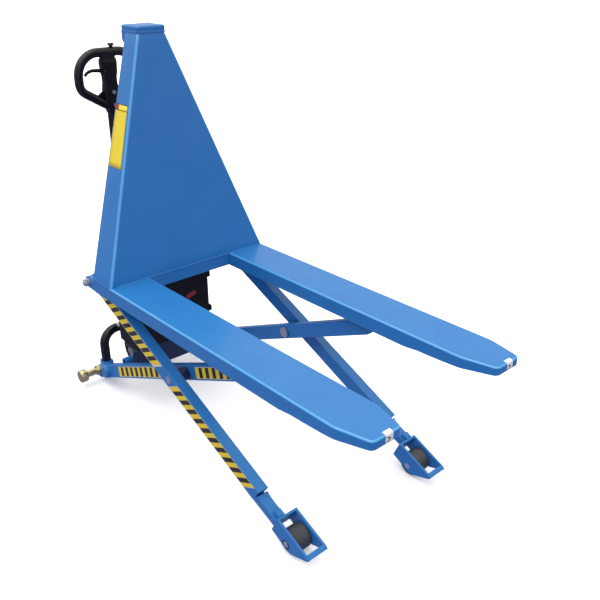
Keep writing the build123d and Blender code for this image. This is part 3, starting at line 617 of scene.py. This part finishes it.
def vinyl(name, heights, depths, proud, material):
    """A thin sheet on the side panel between two heights and two depths."""
    (t0, t1), (d0, d1) = heights, depths
    bm = bmesh.new()
    rows = []
    for i in range(13):
        t = t0 + (t1 - t0) * i / 12
        rows.append([bm.verts.new(on_side_panel(t, d0 + (d1 - d0) * k / 4, proud)) for k in range(5)])
    sheet(bm, rows)
    film = piece_from(name, bm, material, "fork_carriage").modifiers.new("film", "SOLIDIFY")
    film.thickness = 0.0003


label_low, header_low, label_high = 0.471, 0.699, 0.722
rule = 0.003
across = (0.06, 0.97)
vinyl("side_label", (label_low, label_high), across, 0.0006, label_yellow)
vinyl("side_label_rule_low", (header_low - rule, header_low), across, 0.0009, tape_black)
vinyl("side_label_rule_high", (label_high - rule, label_high), across, 0.0009, tape_black)
vinyl("side_label_block", (header_low, label_high - rule), (0.72, 0.97), 0.0009, label_red)

# ---- Scissor arms -------------------------------------------------------------------------------------
# Rectangular steel tube, 39 by 55 mm in the outer pair and 31 by 55 mm in the inner one, flame-cut and
# ground at the ends, with a turned boss or a rounded eye wherever a pin goes through.
arm_half = 0.0275
arm_wall = 0.004
outer_in, outer_out = 0.276, 0.315
inner_in, inner_out = 0.211, 0.242
centre = pivot["scissor_cross"]
base_pin = pivot["scissor_lift"]


class Line:
    """A line in X and Z from one point towards another, with points measured along and square to it."""

    def __init__(self, start, through):
        self.start = Vector(start)
        self.along = (Vector(through) - self.start).normalized()
        self.up = Vector((-self.along.y, self.along.x))

    def at(self, distance, offset=0.0):
        p = self.start + self.along * distance + self.up * offset
        return (p.x, p.y)

    def reach(self, point):
        return (Vector(point) - self.start).dot(self.along)


outer_line = Line((mast_x - 0.157, 0.5416), (centre.x, centre.z))
inner_line = Line((mast_x - 0.335, 0.067), (centre.x, centre.z))
roller = pivot["load_roller_left_spin"]
roller_line = Line((roller.x, roller.z), (roller.x + outer_line.along.x, roller.z + outer_line.along.y))
arm_end = outer_line.reach((mast_x + 0.765, 0.130))

for hand, side in sides:
    y0, y1 = side * outer_in, side * outer_out
    tube_end = arm_end - 0.004
    bm = bmesh.new()
    back = [outer_line.at(-0.006, -arm_half), outer_line.at(-0.006, arm_half)]
    near_low, near_high = outer_line.at(tube_end - 0.012, -arm_half), outer_line.at(tube_end, arm_half)
    corners = [(*back[0], y0), (*back[1], y0), (*back[1], y1), (*back[0], y1)]
    mouth = [(*near_low, y0), (*near_high, y0), (*near_high, y1), (*near_low, y1)]
    bore = arm_half - arm_wall
    low_in, high_in = outer_line.at(tube_end - 0.012, -bore), outer_line.at(tube_end, bore)
    yi0, yi1 = y0 + side * arm_wall, y1 - side * arm_wall
    rim = [(*low_in, yi0), (*high_in, yi0), (*high_in, yi1), (*low_in, yi1)]
    deep_low, deep_high = outer_line.at(tube_end - 0.10, -bore), outer_line.at(tube_end - 0.10, bore)
    deep = [(*deep_low, yi0), (*deep_high, yi0), (*deep_high, yi1), (*deep_low, yi1)]
    built = [[bm.verts.new((x, y, z)) for x, z, y in ring] for ring in (corners, mouth, rim, deep)]
    skin(bm, built)
    arm = ease_edges(piece_from(f"outer_bar_{hand}", bm, "blue_paint", "outer_frame"), 0.003)
    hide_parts(f"outer_arm_{hand}")
    eye = arc((heel.x, heel.z), 0.025, 66, 246, 16)
    eye += [outer_line.at(0.0, -arm_half + 0.001), outer_line.at(0.01, arm_half - 0.001)]
    plate(f"outer_bar_eye_{hand}", eye, side * 0.2765, side * 0.3145, "blue_paint", "outer_frame", 0.002)
    neck = [roller_line.at(d, h) for d, h in (
        (-0.245, -0.003), (-0.245, 0.012), (-0.168, 0.016), (-0.160, 0.036),
         (-0.152, 0.0325), (-0.142, 0.0302),
        (-0.128, 0.029), (-0.066, 0.031), (-0.066, 0.001), (-0.178, -0.0035))]
    plate(f"roller_neck_{hand}", neck, side * 0.2765, side * 0.3148, "blue_paint", "outer_frame", 0.002)
    stub = [roller_line.at(-0.094, 0.028), roller_line.at(-0.094, 0.042), roller_line.at(-0.089, 0.047),
            roller_line.at(-0.067, 0.047), roller_line.at(-0.067, 0.028)]
    plate(f"roller_neck_block_{hand}", stub, side * 0.284, side * 0.306, "blue_paint", "outer_frame", 0.002)

    slider = pivot["slider_left_spin"]
    front = inner_line.reach((slider.x, slider.z))
    rear = inner_line.reach((mast_x - 0.410, 0.036))
    inner_outline = [inner_line.at(rear + 0.010, arm_half), inner_line.at(front - 0.010, arm_half),
                     inner_line.at(front + 0.018, arm_half - 0.003), inner_line.at(front + 0.029, 0.014),
                     inner_line.at(front + 0.024, -0.004), inner_line.at(front - 0.060, -arm_half),
                     inner_line.at(rear + 0.016, -arm_half)]
    inner_outline += [inner_line.at(rear + 0.005, -arm_half + 0.005), inner_line.at(rear, -arm_half + 0.015),
                      inner_line.at(rear, arm_half - 0.010), inner_line.at(rear + 0.003, arm_half - 0.003)]
    bar = plate(f"inner_bar_{hand}", inner_outline, side * inner_in, side * inner_out, "blue_paint",
                "inner_frame", 0.003)
    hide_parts(f"inner_arm_{hand}")
    boss = [(0.240, 0.0225), (0.240, 0.0245), (0.2525, 0.0238), (0.254, 0.0225), (0.254, 0.0)]
    turned(f"base_boss_{hand}", boss, (base_pin.x, 0, base_pin.z), "blue_paint", "inner_frame", side=side)
    boss_weld = [(0.2418, 0.024), (0.2432, 0.0272), (0.2448, 0.0262), (0.2455, 0.024)]
    turned(f"base_boss_weld_{hand}", boss_weld, (base_pin.x, 0, base_pin.z), "blue_paint", "inner_frame",
           side=side)

# ---- Hazard tape --------------------------------------------------------------------------------------
# Printed yellow and black tape with a pale edge, stuck along the outer face of every arm and stopping
# short of the pivots. The stripes slant more on the outer pair than on the inner pair.


def hazard_tape(name, line, start, end, width, face_y, pitch, slant, body):
    """Tape along a line in X and Z: alternate stripes on a pale backing that shows as a thin border."""
    out = 0.0006 * (1 if face_y > 0 else -1)
    border = 0.0022
    bm = bmesh.new()
    low, high = -width / 2, width / 2
    corners = [line.at(start, low), line.at(end, low), line.at(end + slant, high),
               line.at(start + slant, high)]
    bm.faces.new([bm.verts.new((x, face_y + out * 0.5, z)) for x, z in corners])
    for i in range(int(round((end - start - 2 * border) / pitch * 2))):
        s0 = start + border + i * pitch / 2
        s1 = min(s0 + pitch / 2, end - border)
        if s1 <= s0:
            break
        shift_low, shift_high = slant * border / width, slant * (1 - border / width)
        quad = [line.at(s0 + shift_low, low + border), line.at(s1 + shift_low, low + border),
                line.at(s1 + shift_high, high - border), line.at(s0 + shift_high, high - border)]
        stripe = bm.faces.new([bm.verts.new((x, face_y + out, z)) for x, z in quad])
        stripe.material_index = 1 + i % 2
    mesh = bpy.data.meshes.new(name)
    bm.to_mesh(mesh)
    bm.free()
    for material in (tape_edge, tape_yellow, tape_black):
        mesh.materials.append(material)
    tape = bpy.data.objects.new(name, mesh)
    bpy.context.scene.collection.objects.link(tape)
    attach(tape, body)


stripe_pitch = 0.042
outer_tapes = (("upper", (mast_x - 0.122, 0.526), (mast_x + 0.215, 0.376)),
               ("lower", (mast_x + 0.302, 0.337), (mast_x + 0.706, 0.157)))
inner_tapes = (("rear", (mast_x - 0.215, 0.123), (mast_x + 0.170, 0.290)),
               ("front", (mast_x + 0.350, 0.364), (mast_x + 0.650, 0.494)))
for hand, side in sides:
    for label, start, end in outer_tapes:
        hazard_tape(f"hazard_tape_outer_{label}_{hand}", outer_line, outer_line.reach(start),
                    outer_line.reach(end), 0.050, side * outer_out, stripe_pitch, 0.042, "outer_frame")
    for label, start, end in inner_tapes:
        hazard_tape(f"hazard_tape_inner_{label}_{hand}", inner_line, inner_line.reach(start),
                    inner_line.reach(end), 0.042, side * inner_out, stripe_pitch, 0.008, "inner_frame")

# ---- Load rollers and their frames --------------------------------------------------------------------
# A hard nylon roller with eased edges turns between two flame-cut cheeks, closed behind by a plate and in
# front by a bar that rides up on a pallet's boards. A black ring round the axle's flat head is painted shade
# for a shallow recess.
roller_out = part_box("roller_frame_left")[1].y
roller_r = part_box("load_roller_left")[1].z / 2
for hand, side in sides:
    profile = [(0.2492, 0.012), (0.2492, 0.030), (0.2488, 0.031), (0.2492, 0.032),
               (0.2494, roller_r - 0.004)]
    profile += [(0.2494 + 0.0035 * (1 - math.cos(a)), roller_r - 0.004 + 0.0036 * math.sin(a))
                for a in [math.pi / 2 * k / 4 for k in range(1, 5)]]
    profile += [(0.265, roller_r - 0.0001), (0.293, roller_r - 0.0001)]
    profile += [(0.5580 - a, r) for a, r in reversed(profile[:-2])]
    tread = turned(f"load_tread_{hand}", profile, (roller.x, 0, roller.z), "roller_nylon",
                   f"load_wheel_{hand}", side=side)
    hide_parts(f"load_roller_{hand}")
    # A black ring round the axle head, standing proud of the cheek: painted shade for a shallow recess, not a cut.
    ring = [(roller_out - 0.001, 0.0152), (roller_out + 0.0006, 0.0150), (roller_out + 0.0006, 0.0108),
            (roller_out - 0.001, 0.0106)]
    turned(f"axle_shade_ring_{hand}", ring, (roller.x, 0, roller.z), "black_paint", "outer_frame", side=side)
    axle = [(0.2385, 0.0), (0.2385, 0.0105), (roller_out + 0.0006, 0.0105), (roller_out + 0.0012, 0.0098),
            (roller_out + 0.0014, 0.0)]
    axle_bar = turned(f"load_axle_{hand}", axle, (roller.x, 0, roller.z), "bright_zinc", "outer_frame",
                      side=side)
    if side == 1:
        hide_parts("roller_axles")
    cheek = [roller_line.at(-0.066, -0.013), roller_line.at(-0.066, 0.049), roller_line.at(0.080, 0.049),
             roller_line.at(0.090, 0.044), roller_line.at(0.086, 0.036), roller_line.at(0.030, -0.013)]
    cheek += [roller_line.at(0.020 - 0.036 * k / 5, -0.0165 - 0.0025 * math.sin(math.pi * k / 5))
              for k in range(6)]
    inner_cheek = plate(f"roller_cheek_inner_{hand}", cheek, side * 0.239, side * 0.247, "blue_paint",
                        "outer_frame")
    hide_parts(f"roller_frame_{hand}")
    plate(f"roller_cheek_outer_{hand}", cheek, side * 0.311, side * 0.319, "blue_paint", "outer_frame")
    back_plate = [roller_line.at(-0.066, 0.004), roller_line.at(-0.066, 0.0485),
                  roller_line.at(-0.058, 0.0485),
                  roller_line.at(-0.058, 0.004)]
    plate(f"roller_back_{hand}", back_plate, side * 0.2465, side * 0.3115, "blue_paint", "outer_frame")
    nose_bar = [roller_line.at(0.072, 0.034), roller_line.at(0.072, 0.0485), roller_line.at(0.080, 0.0485),
                roller_line.at(0.0895, 0.044), roller_line.at(0.086, 0.036), roller_line.at(0.080, 0.034)]
    plate(f"roller_nose_{hand}", nose_bar, side * 0.2465, side * 0.3115, "blue_paint", "outer_frame")
    for y in (0.243, 0.315):
        (top_x, top_z), (low_x, low_z) = roller_line.at(-0.064, 0.048), roller_line.at(-0.064, 0.006)
        weld_bead(f"roller_frame_weld_{hand}_{int(y * 1000)}", (top_x, side * y, top_z),
                  (low_x, side * y, low_z), 0.003, "outer_frame")

# ---- Stabiliser pins ----------------------------------------------------------------------------------
# Turned bars with a broad chamfered head, screwed into the inner arms' rear ends against a lock nut and
# plated yellow. They come down close to the floor as the truck lifts.
stab_low, stab_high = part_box("stabiliser_pins")
stab_x, stab_z = (stab_low.x + stab_high.x) / 2, (stab_low.z + stab_high.z) / 2
stab_out = stab_high.y
for hand, side in sides:
    profile = [(0.243, 0.0), (0.243, 0.0125), (0.250, 0.0135), (0.252, 0.014), (stab_out - 0.0295, 0.014),
               (stab_out - 0.029, 0.0148), (stab_out - 0.029, 0.0235), (stab_out - 0.0283, 0.0252),
               (stab_out - 0.0265, 0.026), (stab_out - 0.0025, 0.026), (stab_out - 0.0008, 0.0252),
               (stab_out, 0.0238), (stab_out, 0.010), (stab_out - 0.0006, 0.0092), (stab_out - 0.0006, 0.0)]
    stab = turned(f"stabiliser_{hand}", profile, (stab_x, 0, stab_z), "yellow_zinc", "inner_frame",
                  side=side)
    if side == 1:
        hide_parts("stabiliser_pins")

# ---- Steered wheels -----------------------------------------------------------------------------------
# Solid rubber treads on moulded hubs. The rubber's edges are rounded and each hub is dished, with a bead
# round its rim and a raised nave.
steer = pivot["steer_wheel_left_spin"]
wheel_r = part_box("steer_tyre_left")[1].z / 2
wheel_in, wheel_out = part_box("steer_tyre_left")[0].y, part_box("steer_tyre_left")[1].y
rim_r = 0.063
edge = 0.009
for hand, side in sides:
    shoulder = [(wheel_in + edge * (1 - math.cos(a)), wheel_r - edge + edge * math.sin(a))
                for a in [math.pi / 2 * k / 5 for k in range(6)]]
    tread = [(wheel_in + 0.004, rim_r), (wheel_in + 0.001, rim_r + 0.003)] + shoulder
    tread += [(wheel_in + wheel_out - a, r) for a, r in reversed(tread)]
    tyre = turned(f"steer_tread_{hand}", tread, (steer.x, 0, steer.z), "tyre_rubber",
                  f"steer_wheel_{hand}", steps=96, side=side)
    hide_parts(f"steer_tyre_{hand}")
    hub = [(wheel_in - 0.0018, 0.0125), (wheel_in - 0.0018, 0.022), (wheel_in + 0.014, 0.026),
           (wheel_in + 0.014, 0.048), (wheel_in + 0.004, 0.056), (wheel_in + 0.003, rim_r - 0.0005),
           (wheel_out - 0.003, rim_r - 0.0005), (wheel_out - 0.002, 0.060), (wheel_out - 0.005, 0.056),
           (wheel_out - 0.014, 0.050), (wheel_out - 0.015, 0.030), (wheel_out - 0.006, 0.024),
           (wheel_out - 0.001, 0.021), (wheel_out - 0.0005, 0.0125)]
    disc = turned(f"steer_disc_{hand}", hub, (steer.x, 0, steer.z), "hub_plastic",
                  f"steer_wheel_{hand}", steps=96, side=side)
    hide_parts(f"steer_hub_{hand}")

# ---- Yoke hoop ----------------------------------------------------------------------------------------
# A gloss black bent tube welded to the side members, standing over the steered wheels and interrupted by
# the steering housing, with a plain grey sticker beside its right shoulder.
hoop_low, hoop_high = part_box("yoke_hoop")
hoop_r = (hoop_high.x - hoop_low.x) / 2
hoop_x = (hoop_high.x + hoop_low.x) / 2
hoop_y = hoop_high.y - hoop_r
hoop_top = hoop_high.z - hoop_r


def bent_route(corners, radii, closed=False, steps=12):
    """Points of a tube's centre line: straight runs joined by arcs, as a tube bender makes them."""
    points = []
    count = len(corners)
    for i, (corner, radius) in enumerate(zip(corners, radii)):
        here = Vector(corner)
        if not closed and i in (0, count - 1):
            points.append(here)
            continue
        before = (Vector(corners[i - 1]) - here).normalized()
        after = (Vector(corners[(i + 1) % count]) - here).normalized()
        half_turn = before.angle(after) / 2
        middle = here + (before + after).normalized() * (radius / math.sin(half_turn))
        a = here + before * (radius / math.tan(half_turn)) - middle
        b = here + after * (radius / math.tan(half_turn)) - middle
        sweep = a.angle(b)
        for k in range(steps + 1):
            t = k / steps
            swung = a * math.sin((1 - t) * sweep) + b * math.sin(t * sweep)
            points.append(middle + swung / math.sin(sweep))
    return points


def bent_tube(name, points, radius, slot, body, closed=False):
    """Round tube along a route."""
    curve = bpy.data.curves.new(name, "CURVE")
    curve.dimensions = "3D"
    spline = curve.splines.new("POLY")
    spline.points.add(len(points) - 1)
    for bend_point, p in zip(spline.points, points):
        bend_point.co = (*p, 1)
    spline.use_cyclic_u = closed
    curve.bevel_depth = radius
    curve.bevel_resolution = 10
    curve.use_fill_caps = True
    draft = bpy.data.objects.new(name + "_draft", curve)
    mesh = bpy.data.meshes.new_from_object(draft)
    bpy.data.objects.remove(draft)
    bm = bmesh.new()
    bm.from_mesh(mesh)
    return piece_from(name, bm, slot, body, smooth_angle=50)


hoop_bend = 0.062
hoop_route = bent_route([(hoop_x, -hoop_y, hoop_low.z), (hoop_x, -hoop_y, hoop_top),
                         (hoop_x, hoop_y, hoop_top), (hoop_x, hoop_y, hoop_low.z)],
                        [0, hoop_bend, hoop_bend, 0])
hoop = bent_tube("hoop_tube", hoop_route, hoop_r, "black_paint", "chassis")
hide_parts("yoke_hoop")

bm = bmesh.new()
sticker_rows = []
sticker_r = hoop_r + 0.0004
for i in range(9):
    y = -hoop_y + hoop_bend + 0.056 * i / 8
    turns = [math.radians(25 + 80 * k / 8) for k in range(9)]
    bent = [(hoop_x + sticker_r * math.cos(a), y, hoop_top + sticker_r * math.sin(a)) for a in turns]
    sticker_rows.append([bm.verts.new(p) for p in bent])
sheet(bm, sticker_rows)
piece_from("hoop_sticker", bm, label_grey, "chassis", smooth_angle=60)

# ---- Deck ---------------------------------------------------------------------------------------------
# A black plate under the power pack, cut away over the wheels and running back to the steering housing.
# It is flat-cut steel in the hoop's black paint, with its burrs taken off.
deck_low, deck_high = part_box("deck_plate")
deck_half = deck_high.y
deck_plan = [(deck_high.x, deck_half), (deck_high.x - 0.100, deck_half), (deck_high.x - 0.150, 0.105),
             (deck_high.x - 0.160, 0.055), (deck_low.x, 0.055)]
deck_plan += [(x, -y) for x, y in reversed(deck_plan)]
under = [(x, y, deck_low.z) for x, y in deck_plan]
over = [(x, y, deck_high.z) for x, y in deck_plan]
deck = slab("deck", under, over, "black_paint", "chassis", 0.002)
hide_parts("deck_plate")

# ---- Power pack ---------------------------------------------------------------------------------------
# A moulded black case with softened corners and shallow panel lines, a lid with a lip, spring catches down
# each side, and a small plain red label on the front.
case_low, case_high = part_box("battery_case")
lid_low, lid_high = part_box("case_lid")
well_half = 0.040
well_front = (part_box("cylinder_barrel")[0].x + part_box("cylinder_barrel")[1].x) / 2 + 0.040


def case_ring(grow, z):
    """Plan of the case with its rear notch for the cylinder, grown by a little."""
    x0, x1, half = case_low.x - grow, case_high.x + grow, case_high.y + grow
    corner = 0.010
    ring = []
    for cx, cy, start in ((x1 - corner, -half + corner, -90), (x1 - corner, half - corner, 0),
                          (x0 + corner, half - corner, 90)):
        for i in range(6):
            a = math.radians(start + 18 * i)
            ring.append((cx + corner * math.cos(a), cy + corner * math.sin(a), z))
    ring += [(x0, well_half, z), (well_front, well_half, z), (well_front, -well_half, z),
             (x0, -well_half, z)]
    for i in range(6):
        a = math.radians(180 + 18 * i)
        ring.append((x0 + corner + corner * math.cos(a), -half + corner + corner * math.sin(a), z))
    return ring


seam = case_low.z + 0.150
case_levels = [(-0.0025, case_low.z), (0, case_low.z + 0.003), (0, seam), (-0.0015, seam + 0.001),
               (-0.0015, seam + 0.004), (0, seam + 0.005), (0, case_high.z - 0.004),
               (-0.002, case_high.z - 0.002), (-0.002, case_high.z)]
case = lofted("power_case", [case_ring(g, z) for g, z in case_levels], "black_plastic", "chassis")
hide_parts("battery_case")
lid_levels = [(-0.001, lid_low.z), (0, lid_low.z + 0.001), (0, lid_high.z - 0.004),
              (-0.0012, lid_high.z - 0.0012), (-0.004, lid_high.z)]
lid = lofted("power_lid", [case_ring(g, z) for g, z in lid_levels], "black_plastic", "chassis")
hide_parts("case_lid")


def panel_outline(y0, y1, z0, z1, corner, x, steps=5):
    """Rounded rectangle on the case's front."""
    ring = []
    for cy, cz, start in ((y1 - corner, z1 - corner, 0), (y0 + corner, z1 - corner, 90),
                          (y0 + corner, z0 + corner, 180), (y1 - corner, z0 + corner, 270)):
        for i in range(steps + 1):
            a = math.radians(start + 90 * i / steps)
            ring.append((x, cy + corner * math.cos(a), cz + corner * math.sin(a)))
    return ring


front_x = case_high.x
y0, y1 = -0.150, 0.150
for name, z0, z1 in (("front_panel_low", 0.232, 0.352), ("front_panel_high", 0.386, 0.480)):
    rings = [panel_outline(y0, y1, z0, z1, 0.008, front_x - 0.001),
             panel_outline(y0, y1, z0, z1, 0.008, front_x + 0.0004),
             panel_outline(y0 + 0.001, y1 - 0.001, z0 + 0.001, z1 - 0.001, 0.008, front_x + 0.0014),
             panel_outline(y0 + 0.004, y1 - 0.004, z0 + 0.004, z1 - 0.004, 0.006, front_x + 0.0016)]
    lofted(name, rings, "black_plastic", "chassis")
rings = []
for x in (front_x - 0.0005, front_x + 0.0021):
    level_outline = panel_outline(0.062, 0.108, 0.374, 0.394, 0.008, x)
    rings.append([(x, y, z + 0.25 * (y - 0.085)) for x, y, z in level_outline])
lofted("case_label", rings, label_red, "chassis")
for hand, side in sides:
    for level, z0, z1 in (("high", 0.435, 0.460), ("low", 0.280, 0.305)):
        x0, x1 = case_high.x - 0.027, case_high.x - 0.001
        y = side * case_high.y
        foot = [(x0, z0), (x1, z0), (x1, z1), (x0, z1)]
        crown = [(x0 + 0.003, z0 + 0.004), (x1 - 0.003, z0 + 0.004), (x1 - 0.003, z1 - 0.004),
                 (x0 + 0.003, z1 - 0.004)]
        rings = [[(x, y + side * proud, z) for x, z in outline]
                 for proud, outline in ((-0.001, foot), (0.0085, foot), (0.0115, crown))]
        catch = ease_edges(lofted(f"catch_{level}_{hand}", rings, "black_plastic", "chassis"), 0.001)
        if (hand, level) == ("left", "high"):
            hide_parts("case_latches")

# ---- Tiller -------------------------------------------------------------------------------------------
# A tube from the steering yoke carries a moulded head and a loop of gloss black tube to steer by. The
# head tapers into the tube, is pinched at its waist, and holds the lift lever and the push button.
loop_low, loop_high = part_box("tiller_loop")
loop_r = (loop_high.x - loop_low.x) / 2
loop_x = (loop_high.x + loop_low.x) / 2
loop_half = loop_high.y - loop_r
loop_top = loop_high.z - loop_r
head_base = fork_top + 0.500
head_top = fork_top + 0.700
elbow = head_base + 0.092
loop_corners = [(loop_x, 0, head_base + 0.016), (loop_x, loop_half, elbow), (loop_x, loop_half, loop_top),
                (loop_x, -loop_half, loop_top), (loop_x, -loop_half, elbow)]
loop_route = bent_route(loop_corners, [0.030, 0.045, 0.085, 0.085, 0.045], closed=True)
loop = bent_tube("steer_loop", loop_route, loop_r, "black_paint", "tiller", closed=True)
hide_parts("tiller_loop")

head_profile = [(0.0205, 0.0205, 0.000), (0.023, 0.0215, 0.010), (0.028, 0.022, 0.024),
                (0.031, 0.022, 0.038),
                (0.031, 0.022, 0.078), (0.029, 0.022, 0.095), (0.026, 0.0215, 0.112),
                (0.0262, 0.0215, 0.135),
                (0.030, 0.022, 0.150), (0.032, 0.022, 0.186), (0.032, 0.0205, 0.195), (0.031, 0.0175, 0.200)]
head_rings = []
for half_y, half_x, rise in head_profile:
    corner = min(half_x, half_y) * 0.55
    head_rings.append(rounded_oblong(loop_x - half_x, loop_x + half_x, half_y, corner, head_base + rise))
head = lofted("handle_head", head_rings, "black_plastic", "tiller", smooth_angle=60)
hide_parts("tiller_head")
post_rings = [rounded_oblong(loop_x - half_x, loop_x + half_x, half_y, 0.008, z) for half_x, half_y, z in (
    (0.0165, 0.030, head_top - 0.006), (0.015, 0.0285, head_top + 0.004), (0.0145, 0.029, head_top + 0.010),
    (0.014, 0.033, loop_top - 0.012), (0.011, 0.037, loop_top - 0.003))]
lofted("head_post", post_rings, "black_plastic", "tiller", smooth_angle=60)
for hand, side in sides:
    gusset_outline = [(0.026, 0.030), (0.085, 0.058), (0.060, 0.066), (0.031, 0.086)]
    near = [(loop_x - 0.004, side * y, head_base + z) for y, z in gusset_outline]
    far = [(loop_x + 0.004, side * y, head_base + z) for y, z in gusset_outline]
    slab(f"loop_gusset_{hand}", near, far, "black_paint", "tiller", 0.0015)

lever = pivot["lift_lever_rock"]
lever_bends = [(-0.012, 0.0, 0), (-0.030, 0.001, -6), (-0.050, 0.0035, -8), (-0.068, 0.0045, 0),
               (-0.082, 0.002, 22), (-0.093, -0.0045, 42), (-0.100, -0.0125, 52)]
lever_rings = []
for i, (y, rise, turn) in enumerate(lever_bends):
    thick = 0.0078 - 0.0028 * i / (len(lever_bends) - 1)
    slope = math.radians(turn)
    ring = []
    for k in range(16):
        a = 2 * math.pi * k / 16
        u, v = 0.0070 * math.cos(a), thick * math.sin(a)
        ring.append((lever.x + u, y - v * math.sin(slope), lever.z + rise + v * math.cos(slope)))
    lever_rings.append(ring)
finger_lever = lofted("finger_lever", lever_rings, "black_plastic", "hand_lever", smooth_angle=60)
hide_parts("lift_lever")

button_low, button_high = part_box("push_button")
button_y = (button_low.y + button_high.y) / 2
button_profile = [(button_low.z + 0.001, 0.0), (button_low.z + 0.001, 0.0049),
                  (button_high.z - 0.0085, 0.0085), (button_high.z - 0.0080, 0.0112),
                  (button_high.z - 0.0072, 0.0120)]
button_profile += [(button_high.z - 0.003 + 0.003 * math.sin(a), 0.0090 + 0.003 * math.cos(a))
                   for a in [math.pi / 2 * k / 6 for k in range(7)]]
button_profile += [(button_high.z, 0.0)]
button = turned("knob", button_profile, (loop_x, button_y, 0), "button_plastic", "handle_button", axis="Z",
                steps=40)
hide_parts("push_button")

# ---- Fork tip stickers --------------------------------------------------------------------------------
# A small white vinyl patch is folded over each blade's nose, with a plain chevron printed on it. It is
# 28 mm wide and sits a little to the left of the blade's middle, where a hand put it.
sticker_half = 0.014
top_reach, front_drop = 0.007, 0.018
lift_off = 0.0004
chevron = [(-0.010, 0.006), (-0.004, 0.006), (0.006, -0.001),
           (-0.004, -0.008), (-0.010, -0.008), (0.000, -0.001)]
for hand, side in sides:
    y_mid = side * blade_mid + 0.006
    bend_x, bend_z = fork_tip - blade_roll, fork_top - blade_roll
    bend_r = blade_roll + lift_off
    path = [(bend_x - top_reach, fork_top + lift_off), (bend_x, fork_top + lift_off)]
    path += [(bend_x + bend_r * math.sin(a), bend_z + bend_r * math.cos(a))
             for a in [math.pi / 2 * k / 5 for k in range(1, 6)]]
    path += [(fork_tip + lift_off, bend_z - front_drop * 0.5), (fork_tip + lift_off, bend_z - front_drop)]
    bm = bmesh.new()
    sheet(bm, [[bm.verts.new((x, y_mid + sticker_half * k, z)) for k in (-1, -0.5, 0, 0.5, 1)]
               for x, z in path])
    piece_from(f"nose_sticker_{hand}", bm, label_white, "fork_carriage")
    bm = bmesh.new()
    z_mid = bend_z - front_drop * 0.45
    bm.faces.new([bm.verts.new((fork_tip + 0.0007, y_mid + y, z_mid + z)) for y, z in chevron])
    piece_from(f"nose_mark_{hand}", bm, tape_black, "fork_carriage")
